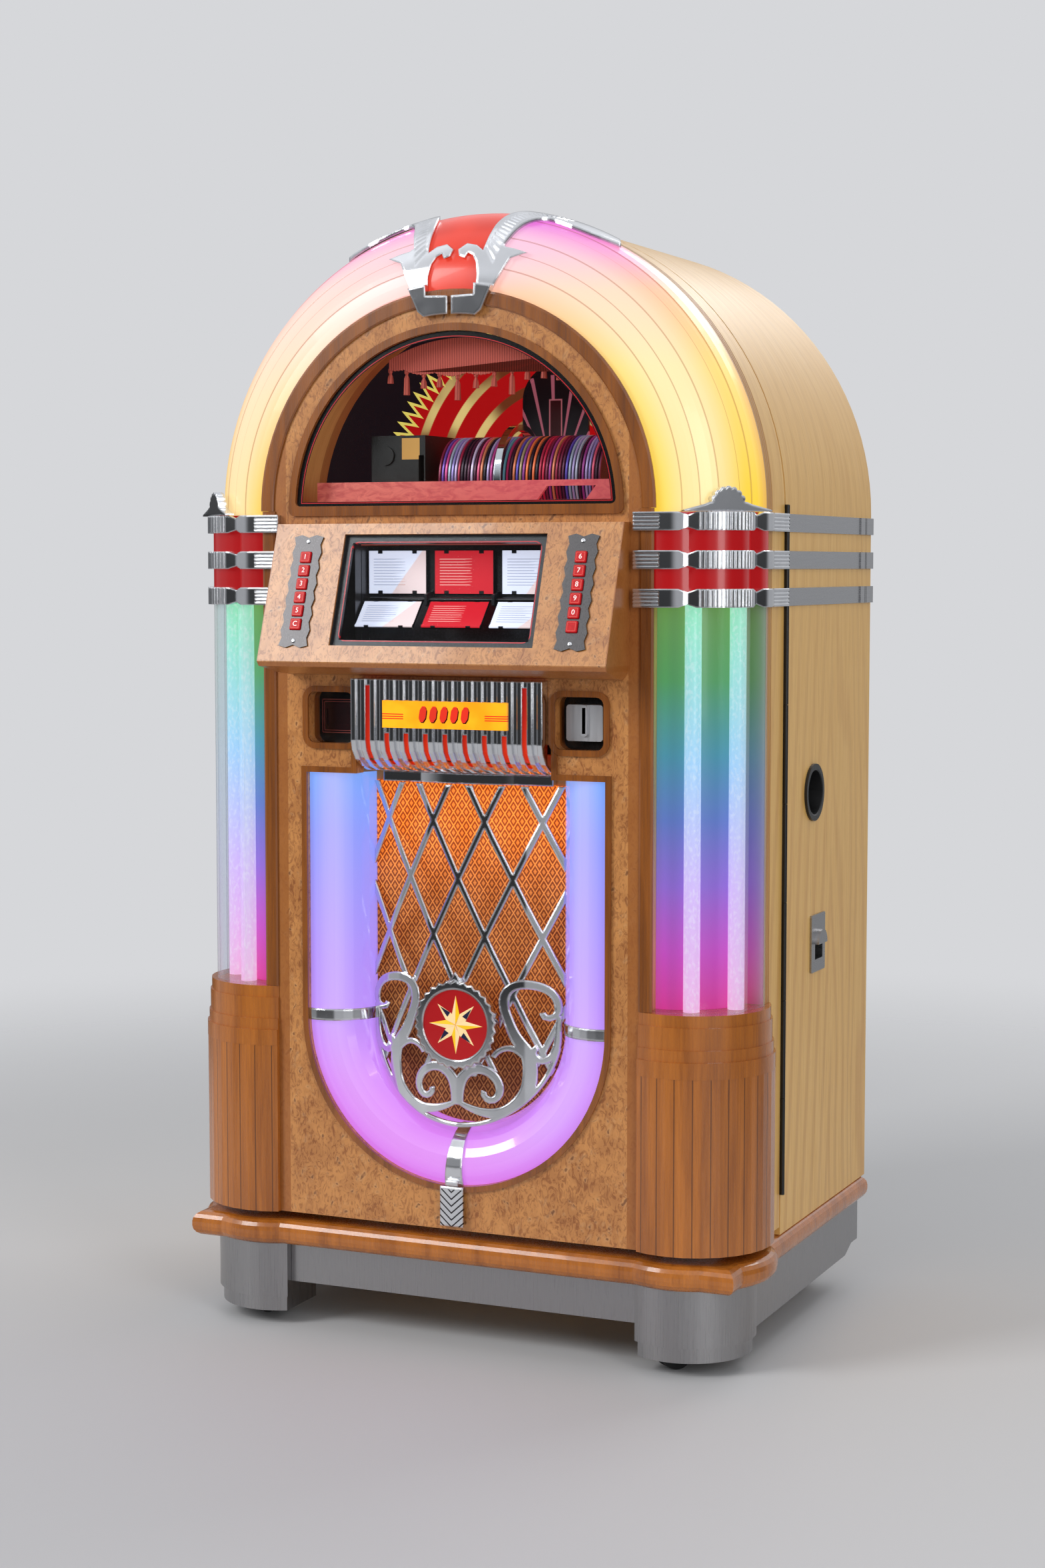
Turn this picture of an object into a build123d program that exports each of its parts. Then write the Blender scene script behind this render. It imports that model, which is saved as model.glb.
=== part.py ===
from build123d import *
import os
from math import atan2, cos, degrees, radians, sin, sqrt

# Arch-topped compact disc jukebox. Millimetres, +Z up, front towards -Y.
# The origin is on the floor under the middle of the outer box.

os.makedirs("parts", exist_ok=True)

# Main sizes
overall_height = 1540.0
cabinet_width = 800.0
cabinet_depth = 400.0  # fixed cabinet, from the door line to the back edge
door_depth = 196.0  # from the door line to the front of the veneered face
console_reach = 82.0  # how far the sloping title console stands out of the face
board = 18.0  # plywood of cabinet and door
fit_gap = 0.3  # clearance of pieces that seat in or on each other
split_gap = 4.0  # gap at the door line, which holds the two hinge leaves

half_width = cabinet_width / 2
back_y = (cabinet_depth + door_depth + console_reach) / 2
split_y = back_y - cabinet_depth
door_back_y = split_y - split_gap
face_y = split_y - door_depth
console_front_y = face_y - console_reach
facia_back_y = face_y + board
spring_z = overall_height - half_width

# Plinth and castor heights
castor_height = 80.0
wheel_radius = 25.0
disc_bottom_z = 20.0
drum_bottom_z = 41.0
skirt_bottom_z = 61.5
moulding_bottom_z = 118.0
moulding_height = 35.5
door_floor_gap = 11.5  # dark gap between the moulding and the door
moulding_top_z = moulding_bottom_z + moulding_height
door_bottom_z = moulding_top_z + door_floor_gap

# Corner columns: a quarter round whose centre is set in from the cabinet's side
column_round = 113.0
column_setback = 4.0  # the plastics' front lies this far behind the face
column_x = half_width - column_round
column_y = face_y + column_setback + column_round
plastic_wall = 3.0
face_half_width = column_x - 7.0  # inner wall of the column channel
plastic_edge_x = face_half_width + 0.5
tube_radius = 11.0
tube_u, tube_v = 45.0, 90.5  # tube centre from the quarter round's centre
diffuser_round = 87.0

# Chrome bands
band_top_z = spring_z - 5.2
band_height = 24.0
band_pitch = 49.5
band_wall = 8.0
band_tab_reach = 9.0
band_tops = [band_top_z - i * band_pitch for i in range(3)]
band_zone_bottom_z = band_tops[2] - band_height

# Wooden pilaster bases under the columns
base_top_z = 483.0
base_round = 109.0
base_shift = 25.0  # base centre, outwards from the quarter round's centre on both axes
base_steps = [(400.0, 0.0), (422.0, 2.5), (437.5, 4.5), (467.0, 6.5)]

# Arch rings and window
ring_outer = column_x + 3.4
ring_inner = ring_outer - 19.4
trim_proud = 3.7
window_trim_outer = ring_inner - 25.0
window_radius = window_trim_outer - 10.0
window_bottom_z = spring_z + 3.0
window_trim_bottom_z = spring_z - 7.0
glass_thickness = 4.0

# Console
console_half_width = ring_inner - 17.0
console_top_z = spring_z - 18.0
console_lip_z = console_top_z - 184.0
console_bottom_z = console_lip_z - 18.0
console_top_reach = 20.0
console_corner = 28.0
key_plate_x = console_half_width - 52.7
title_half_width = key_plate_x - 52.8
title_height = 156.0

# Keys and key plates
key_size = 15.4
key_pitch = 18.9
key_proud = 3.0
key_plate_width = 44.0
key_plate_length = 153.0
key_plate_thickness = 2.0

# Ribbed casting, bar and recesses below the console
fall_half_width = title_half_width - 10.0
fall_front_y = face_y - 22.0
fall_bottom_z = console_bottom_z - 131.0
fall_pitch = (fall_half_width - 22.9) / 4
short_slot_top_z = fall_bottom_z + 52.0
tall_slot_top_z = fall_bottom_z + 116.0
recess_size = 72.0
recess_x = fall_half_width + recess_size / 2 + 9.5
recess_z = console_bottom_z - 61.0
recess_floor_y = face_y + 34.0
bar_z = fall_bottom_z - 11.0
bar_height = 14.0

# Light tube and grille
tube_outer = ring_inner - 50.0
tube_inner = tube_outer - 77.5
tube_bottom_z = door_bottom_z + 61.5
tube_centre_z = tube_bottom_z + tube_outer
tube_top_z = fall_bottom_z - 6.0
surround_width = 8.0
medallion_radius = 61.0
medallion_z = tube_centre_z - 1.5
medallion_disc_radius = 48.0
lattice_pitch_x = 76.5
lattice_pitch_z = 156.0
lattice_node_z = medallion_z + 198.0
lattice_bar = 8.0
lattice_bottom_z = medallion_z - 71.0

# Side fittings
cup_radius = 36.0
cup_y = split_y + 131.0
cup_z = 751.0
coin_plate_y = split_y + 153.0
coin_plate_z = 537.5
coin_plate_size = (62.0, 81.0)

# Disc mechanism
disc_radius = 60.0
disc_count = 24
disc_row_x = (-50.0, 188.0)
disc_sides = 28
disc_row_y = column_y + 2.0
disc_axis_z = spring_z + 41.0
deck_top_z = disc_axis_z - disc_radius - 6.0
deck_half_width = window_radius - 14.0
deck_back_y = split_y + 241.0
backdrop_y = split_y + 121.0

# Hinge
hinge_x = half_width + 3.5
hinge_y = split_y - split_gap / 2
hinge_bottom_z = 210.0
hinge_top_z = spring_z + 7.0
knuckle_radius = 3.0
hinge_pin_radius = 1.5


# Shape helpers
def plan_rect(x0, x1, y0, y1):
    return Pos((x0 + x1) / 2, (y0 + y1) / 2) * Rectangle(abs(x1 - x0), abs(y1 - y0))


def block(x0, x1, y0, y1, z0, z1):
    middle = ((x0 + x1) / 2, (y0 + y1) / 2, (z0 + z1) / 2)
    return Pos(*middle) * Box(abs(x1 - x0), abs(y1 - y0), abs(z1 - z0))


def rise(sketch, z0, z1):
    return extrude(Pos(0, 0, z0) * sketch, z1 - z0)


def front_slab(sketch, y0, y1):
    # The sketch is a front view: its x is X and its y is Z.
    return extrude(Plane.XZ.offset(-y1) * sketch, y1 - y0)


def side_slab(sketch, x0, x1):
    # The sketch is a side view: its x is Y and its y is Z.
    return extrude(Plane.YZ.offset(x0) * sketch, x1 - x0)


def both_sides(shape):
    return [shape, mirror(shape, about=Plane.YZ)]


def outline(*points):
    # Always counter-clockwise, so that every extrusion leaves the sketch on the same side.
    turning = sum(a[0] * b[1] - b[0] * a[1] for a, b in zip(points, points[1:] + points[:1]))
    return Polygon(*(points if turning > 0 else points[::-1]), align=None)


def arch_face(half, bottom_z):
    height = spring_z + half - bottom_z
    legs = Pos(0, (bottom_z + spring_z) / 2) * Rectangle(2 * half, spring_z - bottom_z)
    area = legs + Pos(0, spring_z) * Circle(half)
    return area & Pos(0, bottom_z + height / 2) * Rectangle(2 * half, height)


def arch_turn(section, start, sweep):
    # The plan section of the right-hand side, carried round the arch from the spring line.
    axis = Axis((0, 0, spring_z), (0, -1, 0))
    turned = revolve(Pos(0, 0, spring_z) * section, axis, sweep)
    return turned.rotate(axis, start)


def arch_run(section, bottom_z):
    right = rise(section, bottom_z, spring_z)
    return right + mirror(right, about=Plane.YZ) + arch_turn(section, 0, 180)


def round_points(radius, start, finish, count):
    # Points of a column's quarter round: 0 degrees faces the side and 90 degrees the front.
    turns = [radians(start + (finish - start) * i / count) for i in range(count + 1)]
    return [(column_x + radius * cos(a), column_y - radius * sin(a)) for a in turns]


def save(name, *shapes):
    solids = []
    for shape in shapes:
        solids += list(shape.solids()) if hasattr(shape, "solids") else [shape]
    node = solids[0] if len(solids) == 1 else Compound(children=solids)
    node.label = name
    export_step(node, f"parts/{name}.step")
    return node


# Plan outline of the lobed column skins, grown or shrunk by an offset
def column_area(grow):
    front_lobe = Pos(column_x + 14, column_y - 72) * Circle(46 + grow)
    side_lobe = Pos(column_x + 72, column_y - 14) * Circle(46 + grow)
    main_lobe = Pos(column_x + 56, column_y - 56) * Circle(52 + grow)
    core = Pos(column_x, column_y) * outline((-7, 0), (100, 0), (100, -30), (30, -100), (-7, -100))
    area = front_lobe + side_lobe + main_lobe + core
    reach = column_round + 40
    return area & plan_rect(plastic_edge_x, column_x + reach, column_y - reach, column_y)


def round_band(outer, inner):
    ring = Pos(column_x, column_y) * (Circle(outer) - Circle(inner))
    return ring & plan_rect(plastic_edge_x, half_width + 10, column_y - outer - 10, column_y)


# Fixed cabinet: two sides, arched roof, floor board and the batten that stops the rear panel
def cabinet_shell():
    shell = front_slab(arch_face(half_width, moulding_top_z), split_y, back_y)
    shell -= front_slab(arch_face(half_width - board, moulding_top_z + board), split_y - 1, back_y + 1)
    batten = front_slab(arch_face(half_width - board + 1, moulding_top_z + board - 1),
                        back_y - 30, back_y - 18)
    batten -= front_slab(arch_face(half_width - board - 14, moulding_top_z + board + 14),
                         back_y - 31, back_y - 17)
    shell += batten
    shelf_cleat = block(-half_width + board - 1, -half_width + board + 16, split_y + 14, deck_back_y,
                        deck_top_z - board - 18, deck_top_z - board - fit_gap)
    for cleat in both_sides(shelf_cleat):
        shell += cleat
    for side in (-1, 1):
        hole = Pos(side * half_width, cup_y, cup_z) * Rot(0, 90, 0) * Cylinder(cup_radius, 3 * board)
        shell -= hole
    plate_y, plate_z = coin_plate_size
    shell -= block(half_width - 2 * board, half_width + 1, coin_plate_y - plate_y / 2 + 8,
                   coin_plate_y + plate_y / 2 - 8, coin_plate_z - plate_z / 2 + 8,
                   coin_plate_z + plate_z / 2 - 8)
    return shell


inlet_width, inlet_height = 48.0, 28.0
inlet_x, inlet_z = -250.0, 230.0


def rear_panel():
    half = half_width - board - fit_gap
    panel = arch_face(half, moulding_top_z + board + fit_gap)
    panel -= Pos(inlet_x, inlet_z) * Rectangle(inlet_width, inlet_height)
    for row in range(7):
        for column in (-1, 0, 1):
            panel -= Pos(column * 90, 420 + row * 26) * Rectangle(70, 9)
            panel -= Pos(column * 90, spring_z + 10 + row * 26) * Rectangle(70, 9)
    return front_slab(panel, back_y - 18 + fit_gap, back_y - 6)


def power_inlet():
    y0 = back_y - 6
    flange = block(inlet_x - inlet_width / 2 - 4, inlet_x + inlet_width / 2 + 4, y0 + fit_gap, y0 + 2.5,
                   inlet_z - inlet_height / 2 - 4, inlet_z + inlet_height / 2 + 4)
    body = block(inlet_x - inlet_width / 2 + fit_gap, inlet_x + inlet_width / 2 - fit_gap, y0 - 30,
                 y0 + 1, inlet_z - inlet_height / 2 + fit_gap, inlet_z + inlet_height / 2 - fit_gap)
    socket = block(inlet_x - 12, inlet_x + 12, y0 - 18, y0 + 3, inlet_z - 8.5, inlet_z + 8.5)
    inlet = flange + body - socket
    for pin in (-7, 0, 7):
        inlet += block(inlet_x + pin - 1, inlet_x + pin + 1, y0 - 19, y0 - 3, inlet_z - 2.5, inlet_z + 2.5)
    return inlet


# Plinth: bullnose moulding that swells round both columns, kick panels, drums and discs
base_x = column_x + base_shift
base_y = column_y - base_shift


def nose_profile(reach):
    # Half section of the bullnose, from its middle out to the nose and back.
    bend = moulding_height * 0.42
    top = moulding_top_z - fit_gap
    turns = [radians(90 - 22.5 * i) for i in range(5)]
    upper = [(reach - bend + bend * cos(a), top - bend + bend * sin(a)) for a in turns]
    lower = [(x, moulding_bottom_z + top - z) for x, z in reversed(upper)]
    return upper + lower


def nose_view(low, high):
    # View of a board with the bullnose at both ends.
    middle = (low + high) / 2
    profile = nose_profile((high - low) / 2)
    return outline(*[(middle + x, z) for x, z in profile], *[(middle - x, z) for x, z in reversed(profile)])


def plinth_moulding():
    side_reach, front_reach = 6.0, 12.0
    depth = nose_view(face_y - front_reach, back_y - 2)
    width = nose_view(-half_width - side_reach, half_width + side_reach)
    ring = side_slab(depth, -half_width - 10, half_width + 10) & front_slab(width, face_y - 20, back_y)
    round_nose = nose_profile(base_round + 5)
    swell = outline((0, round_nose[0][1]), *round_nose, (0, round_nose[-1][1]))
    for side in (-1, 1):
        ring += Pos(side * base_x, base_y) * revolve(Plane.XZ * swell, Axis.Z, 360)
    inner = half_width - 62
    return ring - block(-inner, inner, face_y + 70, back_y - 50, moulding_bottom_z - 1, moulding_top_z + 1)


drum_x = base_x - 2
drum_y = base_y - 8.5
drum_radius = 92.0
sheet = 3.0


def drum_area(radius, cut):
    # Front of a round drum, closed by a flat inner side and a flat back.
    return (Pos(drum_x, drum_y) * Circle(radius)
            & plan_rect(drum_x - 48 + cut, drum_x + 200, drum_y - 200, drum_y + 14 - cut))


def plinth_cladding():
    pieces = []
    drum = rise(drum_area(drum_radius, 0) - drum_area(drum_radius - sheet, sheet),
                drum_bottom_z, moulding_bottom_z - fit_gap)
    disc = rise(drum_area(drum_radius - 5, 3) - drum_area(drum_radius - 5 - sheet, 3 + sheet),
                disc_bottom_z, drum_bottom_z + 12)
    disc -= rise(drum_area(drum_radius + 1, -1) - drum_area(drum_radius - sheet - fit_gap, sheet + fit_gap),
                 drum_bottom_z - fit_gap, drum_bottom_z + 13)
    drum -= rise(rails_area(1), castor_height - 1, moulding_bottom_z)
    for shape in (drum, disc):
        pieces += both_sides(shape)
    skirt_x = drum_x - 48 - fit_gap
    skirt_y = face_y + 17
    front = block(-skirt_x, skirt_x, skirt_y, skirt_y + sheet, skirt_bottom_z, moulding_bottom_z - fit_gap)
    front += block(-skirt_x, skirt_x, skirt_y + 1, front_rail_y - 2, moulding_bottom_z - sheet - fit_gap,
                   moulding_bottom_z - fit_gap)
    pieces.append(front)
    back = back_y - 14
    side_view = outline((drum_y + 14 + fit_gap, 46), (back - 60, 46), (back - 30, 58), (back, 58),
                        (back, moulding_bottom_z - fit_gap),
                        (drum_y + 14 + fit_gap, moulding_bottom_z - fit_gap))
    side_x = half_width - 6
    pieces += both_sides(side_slab(side_view, side_x - sheet, side_x))
    return pieces


# Steel base frame with the castors' kingpins and the fixed rear forks
rail_width, rail_top = 40.0, 117.5
front_castor = (drum_x + 2, drum_y - 32)
rear_castor = (half_width - 78.0, back_y - 62.0)
kingpin_radius = 6.0
castor_trail = 12.0
fork_gap = 11.5
axle_radius = 4.0
running_gap = 0.05


def fork(x, y, turn, trail, top):
    # Folded steel fork: top plate, two cheeks and the axle pin of the wheel.
    cheek = outline((-16, top), (16, top), (9 + trail, wheel_radius + 10), (8 + trail, wheel_radius - 7),
                    (-8 + trail, wheel_radius - 7), (-11 + trail, wheel_radius + 8))
    body = block(-16, 16, -fork_gap - 3, fork_gap + 3, top - 4, top)
    for side in (-1, 1):
        body += front_slab(cheek, side * (fork_gap + 1.5) - 1.5, side * (fork_gap + 1.5) + 1.5)
    axle = Pos(trail, 0, wheel_radius) * Rot(90, 0, 0) * Cylinder(axle_radius, 2 * fork_gap + 6)
    return Pos(x, y, 0) * Rot(0, 0, turn) * (body + axle)


def wheel(x, y, turn, trail):
    # Twin-tread castor wheel with a bore for the axle.
    disc = Cylinder(wheel_radius, 2 * fork_gap - 1.2) - Cylinder(axle_radius + running_gap, 60)
    groove = Cylinder(wheel_radius + 1, 4) - Cylinder(wheel_radius - 4, 4)
    return Pos(x, y, 0) * Rot(0, 0, turn) * Pos(trail, 0, wheel_radius) * Rot(90, 0, 0) * (disc - groove)


front_turns = {"left": 128.0, "right": 232.0}
rear_turn = 90.0


frame_half = half_width - 50
front_rail_y = front_castor[1] - rail_width / 2
rear_rail_y = back_y - 40


def rails_area(grow):
    # Plan of the base frame's square tubes.
    outer = plan_rect(-frame_half - grow, frame_half + grow, front_rail_y - grow, rear_rail_y + grow)
    inner = frame_half - rail_width - grow
    return outer - plan_rect(-inner, inner, front_rail_y + rail_width + grow, rear_rail_y - rail_width - grow)


def base_frame():
    frame = rise(rails_area(0), castor_height, rail_top)
    for side in (-1, 1):
        x, y = side * front_castor[0], front_castor[1]
        plate = block(x - 30, x + 30, y - 28, y + 28, castor_height - 5, castor_height + 1)
        pin = Pos(x, y, castor_height - 10) * Cylinder(kingpin_radius, 18)
        head = Pos(x, y, castor_height - 13.5) * Cylinder(kingpin_radius + 4, 5)
        frame += plate + pin + head
        x, y = side * rear_castor[0], rear_castor[1]
        frame += block(x - 30, x + 30, y - 28, y + 28, castor_height - 5, castor_height + 1)
        frame += fork(x, y, rear_turn, 0, castor_height - 4)
    return frame


def front_fork(name):
    side = 1 if name == "right" else -1
    x, y = side * front_castor[0], front_castor[1]
    body = fork(x, y, front_turns[name], castor_trail, castor_height - 6)
    return body - Pos(x, y, castor_height) * Cylinder(kingpin_radius + running_gap, 60)


# Side fittings
def carry_cups():
    wall = 3.0
    depth = 42.0
    profile = outline((-depth, 0), (4, 0), (4, cup_radius + 4), (0.3, cup_radius + 4),
                      (0.3, cup_radius - fit_gap), (-depth, cup_radius - fit_gap))
    inside = outline((-depth + wall, 0), (5, 0), (5, cup_radius - 1), (3, cup_radius - 2 - wall),
                     (-depth + wall, cup_radius - 6 - wall))
    cup = revolve(profile - inside, Axis.X, 360)
    return both_sides(Pos(half_width, cup_y, cup_z) * cup)


def coin_return_cup():
    # Steel plate with an arched, hooded mouth over a cup that slopes back into the side.
    wide, tall = coin_plate_size
    x = half_width + fit_gap
    plate = Pos(coin_plate_y, coin_plate_z) * RectangleRounded(wide, tall, 3)
    mouth = Pos(coin_plate_y + 2, coin_plate_z - 12) * Rectangle(34, 22)
    mouth += Pos(coin_plate_y + 2, coin_plate_z - 1) * Circle(17)
    piece = side_slab(plate, x, x + 2.5)
    hood = Pos(coin_plate_y + 2, coin_plate_z - 1) * (Circle(20) & Pos(0, 12) * Rectangle(44, 24))
    piece += side_slab(hood, x + 2, x + 9)
    inner = Pos(coin_plate_y, coin_plate_z) * Rectangle(wide - 18, tall - 18)
    piece += side_slab(inner, half_width - 40, x + 1)
    piece -= side_slab(mouth, half_width - 36, x + 5.5)
    return piece


def side_bands():
    pieces = []
    cap = 62.0
    for top in band_tops:
        strap = block(half_width + fit_gap, half_width + 2.3, hinge_y + knuckle_radius + 0.8, back_y - cap,
                      top - band_height, top)
        end = block(half_width + fit_gap, half_width + 4, back_y - cap + 0.01, back_y, top - band_height, top)
        for groove in (20, 26):
            end -= block(half_width + 3, half_width + 5, back_y - cap + groove, back_y - cap + groove + 2,
                         top - band_height - 1, top + 1)
        pieces += both_sides(strap + end)
    return pieces


# Piano hinge on the viewer's right
def hinge_leaf(owner):
    count = 7
    pitch = (hinge_top_z - hinge_bottom_z) / count
    own = 0 if owner == "cabinet" else 1
    near = split_y - fit_gap if owner == "cabinet" else door_back_y + fit_gap
    inner = near - 1.5 if owner == "cabinet" else near + 1.5
    leaf = block(half_width - board, hinge_x - 1, min(near, inner), max(near, inner),
                 hinge_bottom_z, hinge_top_z)
    bore = hinge_pin_radius + (running_gap if owner == "door" else 0.02)
    for i in range(count):
        z0 = hinge_bottom_z + i * pitch
        barrel = Pos(hinge_x, hinge_y, z0 + pitch / 2) * Cylinder(knuckle_radius, pitch - 0.6)
        if i % 2 == own:
            leaf += barrel
        else:
            leaf -= Pos(hinge_x, hinge_y, z0 + pitch / 2) * Cylinder(knuckle_radius + 0.35, pitch)
    leaf -= Pos(hinge_x, hinge_y, (hinge_top_z + hinge_bottom_z) / 2) * Cylinder(bore, 1200)
    return leaf


def hinge_pin():
    middle = (hinge_bottom_z + hinge_top_z) / 2
    return Pos(hinge_x, hinge_y, middle) * Cylinder(hinge_pin_radius, hinge_top_z - hinge_bottom_z)


# Door carcass: rim with fine reeds, column channels, bottom board and loudspeaker baffle
channel_wall = 12.0
baffle_front_y = face_y + 58.0
baffle_top_z = fall_bottom_z + 23.0
baffle_hole_z = tube_centre_z + 152.5
speaker_radius = 118.0


def door_frame():
    rim = plan_rect(half_width - board, half_width, column_y, door_back_y)
    for i in range(3):
        middle = column_y + 8 + i * 7
        rim -= outline((half_width - 1.6, middle), (half_width + 1, middle - 2.6),
                       (half_width + 1, middle + 2.6))
    channel = plan_rect(face_half_width - board, half_width - board + 1, column_y, column_y + channel_wall)
    inner = plan_rect(face_half_width - board, face_half_width, facia_back_y + fit_gap, column_y + channel_wall)
    frame = arch_run(rim + channel + inner, door_bottom_z)
    floor = block(-half_width + board - 1, half_width - board + 1, column_y + 1, door_back_y,
                  door_bottom_z, door_bottom_z + board)
    floor += block(-face_half_width + 1, face_half_width - 1, facia_back_y + fit_gap, column_y + 2,
                   door_bottom_z, door_bottom_z + board)
    frame += floor
    inside = face_half_width - board + 1
    baffle = block(-inside, inside, baffle_front_y, baffle_front_y + 12, door_bottom_z + board - 1,
                   baffle_top_z)
    baffle -= Pos(0, baffle_front_y + 6, baffle_hole_z) * Rot(90, 0, 0) * Cylinder(speaker_radius - 8, 40)
    return frame + baffle


def light_area(outer):
    # U-shaped front view of the light tube, cut off level at the top.
    height = tube_top_z + (outer - tube_outer) - tube_centre_z
    area = Pos(0, tube_centre_z) * Circle(outer)
    return area + Pos(0, tube_centre_z + height / 2) * Rectangle(2 * outer, height)


def opening_area(grow):
    # Opening of the face round the light tube, with a raised middle behind the ribbed casting.
    area = light_area(tube_outer + 0.5 + grow)
    return area + Pos(0, tube_top_z + 17) * Rectangle(2 * (fall_half_width + 6 + grow), 60 + 2 * grow)


def recess_area(side, grow):
    size = recess_size + 2 * grow
    return Pos(side * recess_x, recess_z) * RectangleRounded(size, size, 12 + grow)


def facia_panel():
    # Boards edge to edge: above the console, below the recesses, round each recess and between them.
    area = arch_face(face_half_width, door_bottom_z)
    window = Pos(0, spring_z) * Circle(window_radius + 4)
    window &= Pos(0, window_bottom_z + 200) * Rectangle(600, 400)
    area -= window
    area -= Pos(0, (console_top_z + console_bottom_z) / 2 + 5) * Rectangle(2 * title_half_width - 4, 150)
    area -= opening_area(0)
    for side in (-1, 1):
        area -= recess_area(side, 0)
    panel = front_slab(area, face_y, facia_back_y)
    low_joint, high_joint = tube_top_z + 0.5, console_bottom_z + 6
    inner, outer = fall_half_width + 6, face_half_width + 1
    y0, y1 = face_y - 1, facia_back_y + 1
    boards = [block(-outer, outer, y0, y1, high_joint, overall_height)]
    boards.append(block(-outer, outer, y0, y1, 0, low_joint))
    boards.append(block(-inner, inner, y0, y1, low_joint, high_joint))
    boards += both_sides(block(inner, outer, y0, y1, low_joint, high_joint))
    return [panel & board_room for board_room in boards]


def facia_mouldings():
    front, seat = face_y - trim_proud, face_y - fit_gap
    ring_plan = outline((ring_inner, seat), (ring_inner, front + 1.5), (ring_inner + 2, front),
                        (ring_outer - 3, front), (ring_outer, front + 1.5), (ring_outer, seat))
    ring = arch_turn(ring_plan, 0, 180)
    strip_plan = outline((ring_inner - 2.4, seat), (ring_inner - 2.4, front + 1.5), (ring_inner, front),
                         (column_x - 2, front), (column_x + 1, front + 1.5), (column_x + 1, seat))
    pieces = [ring]
    for strip in both_sides(rise(strip_plan, base_top_z + fit_gap, spring_z - fit_gap)):
        pieces.append(strip)
    window = Pos(0, spring_z) * Circle(window_trim_outer)
    window &= Pos(0, window_trim_bottom_z + 200) * Rectangle(600, 400)
    window = fillet(window.vertices(), 9)
    inner = Pos(0, spring_z) * Circle(window_radius) & Pos(0, window_bottom_z + 3 + 200) * Rectangle(600, 400)
    inner = fillet(inner.vertices(), 7)
    pieces.append(front_slab(window - inner, front - 1, seat))
    surround = opening_area(surround_width) - opening_area(0)
    surround -= Pos(0, tube_top_z + 37) * Rectangle(2 * fall_half_width + 6, 120)
    for side in (-1, 1):
        surround -= recess_area(side, 7 + fit_gap)
    pieces.append(front_slab(surround, front, seat))
    for side in (-1, 1):
        lip = recess_area(side, 7) - recess_area(side, -1)
        lip -= Pos(0, recess_z) * Rectangle(2 * fall_half_width + 2, 200)
        pieces.append(front_slab(lip, front, seat))
    return pieces


# Glazing: window pane, title pane and the credit display's pane
console_top_y = face_y - console_top_reach
slope_height = console_top_z - console_lip_z
slope_angle = atan2(console_top_y - console_front_y, slope_height)
slope_mid = (0, (console_top_y + console_front_y) / 2, (console_top_z + console_lip_z) / 2)
slope_plane = Plane(origin=slope_mid, x_dir=(1, 0, 0), z_dir=(0, -cos(slope_angle), sin(slope_angle)))
title_centre = 4.0  # title pane's centre above the middle of the sloping face


def on_slope(sketch, depth0, depth1):
    # Depths are measured out of the sloping face.
    return extrude(slope_plane.offset(depth0) * sketch, depth1 - depth0)


def door_glazing():
    pane = Pos(0, spring_z) * Circle(window_radius + 4 - fit_gap)
    pane &= Pos(0, window_bottom_z + fit_gap + 200) * Rectangle(600, 400)
    window = front_slab(pane, face_y + 1, face_y + 1 + glass_thickness)
    title_area = Rectangle(2 * title_half_width - 2 * fit_gap, title_height - 2 * fit_gap)
    title = on_slope(Pos(0, title_centre) * title_area, -7, -7 + glass_thickness)
    credit = front_slab(recess_area(-1, -fit_gap), recess_floor_y - fit_gap - 3, recess_floor_y - fit_gap)
    return [window, title, credit]


# Arch plastics, clear column covers, coloured lamps and chrome
crown_half_angle = 9.5
round_steps = [(0, 19.5, 0), (20, 31, 1.0), (31.5, 46.5, 0), (47, 60, 0.8), (60.5, 71.5, 0), (72, 94, 0.6)]


def stepped_round(outer, inner):
    # Quarter-round section with the three shallow steps that run round the arch.
    points = []
    for start, finish, relief in round_steps:
        points += round_points(outer - relief, start, finish, 3)
    points += round_points(inner, 94, 0, 10)
    keep = plan_rect(plastic_edge_x, half_width + 10, column_y - outer - 10, column_y)
    return outline(*points) & keep


def arch_plastics():
    section = stepped_round(column_round, column_round - plastic_wall)
    sweep = 90 - crown_half_angle
    right = arch_turn(section, 0, sweep) + rise(section, band_top_z + fit_gap, spring_z)
    return both_sides(right)


def crown_plastic():
    section = round_band(column_round + 1.5, column_round - plastic_wall)
    return arch_turn(section, 90 - crown_half_angle + 0.1, 2 * crown_half_angle - 0.2)


def column_covers():
    section = column_area(0) - column_area(-plastic_wall)
    return both_sides(rise(section, base_top_z + fit_gap, band_zone_bottom_z + band_height / 2))


def column_lamps():
    pieces = []
    top = band_zone_bottom_z + band_height / 2
    diffuser = round_band(diffuser_round, diffuser_round - plastic_wall)
    pieces += both_sides(rise(diffuser, base_top_z + fit_gap, top))
    for u, v in ((tube_u, tube_v), (tube_v, tube_u)):
        tube = Pos(column_x + u, column_y - v) * Circle(tube_radius)
        pieces += both_sides(rise(tube, base_top_z + fit_gap, top))
    return pieces


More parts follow.
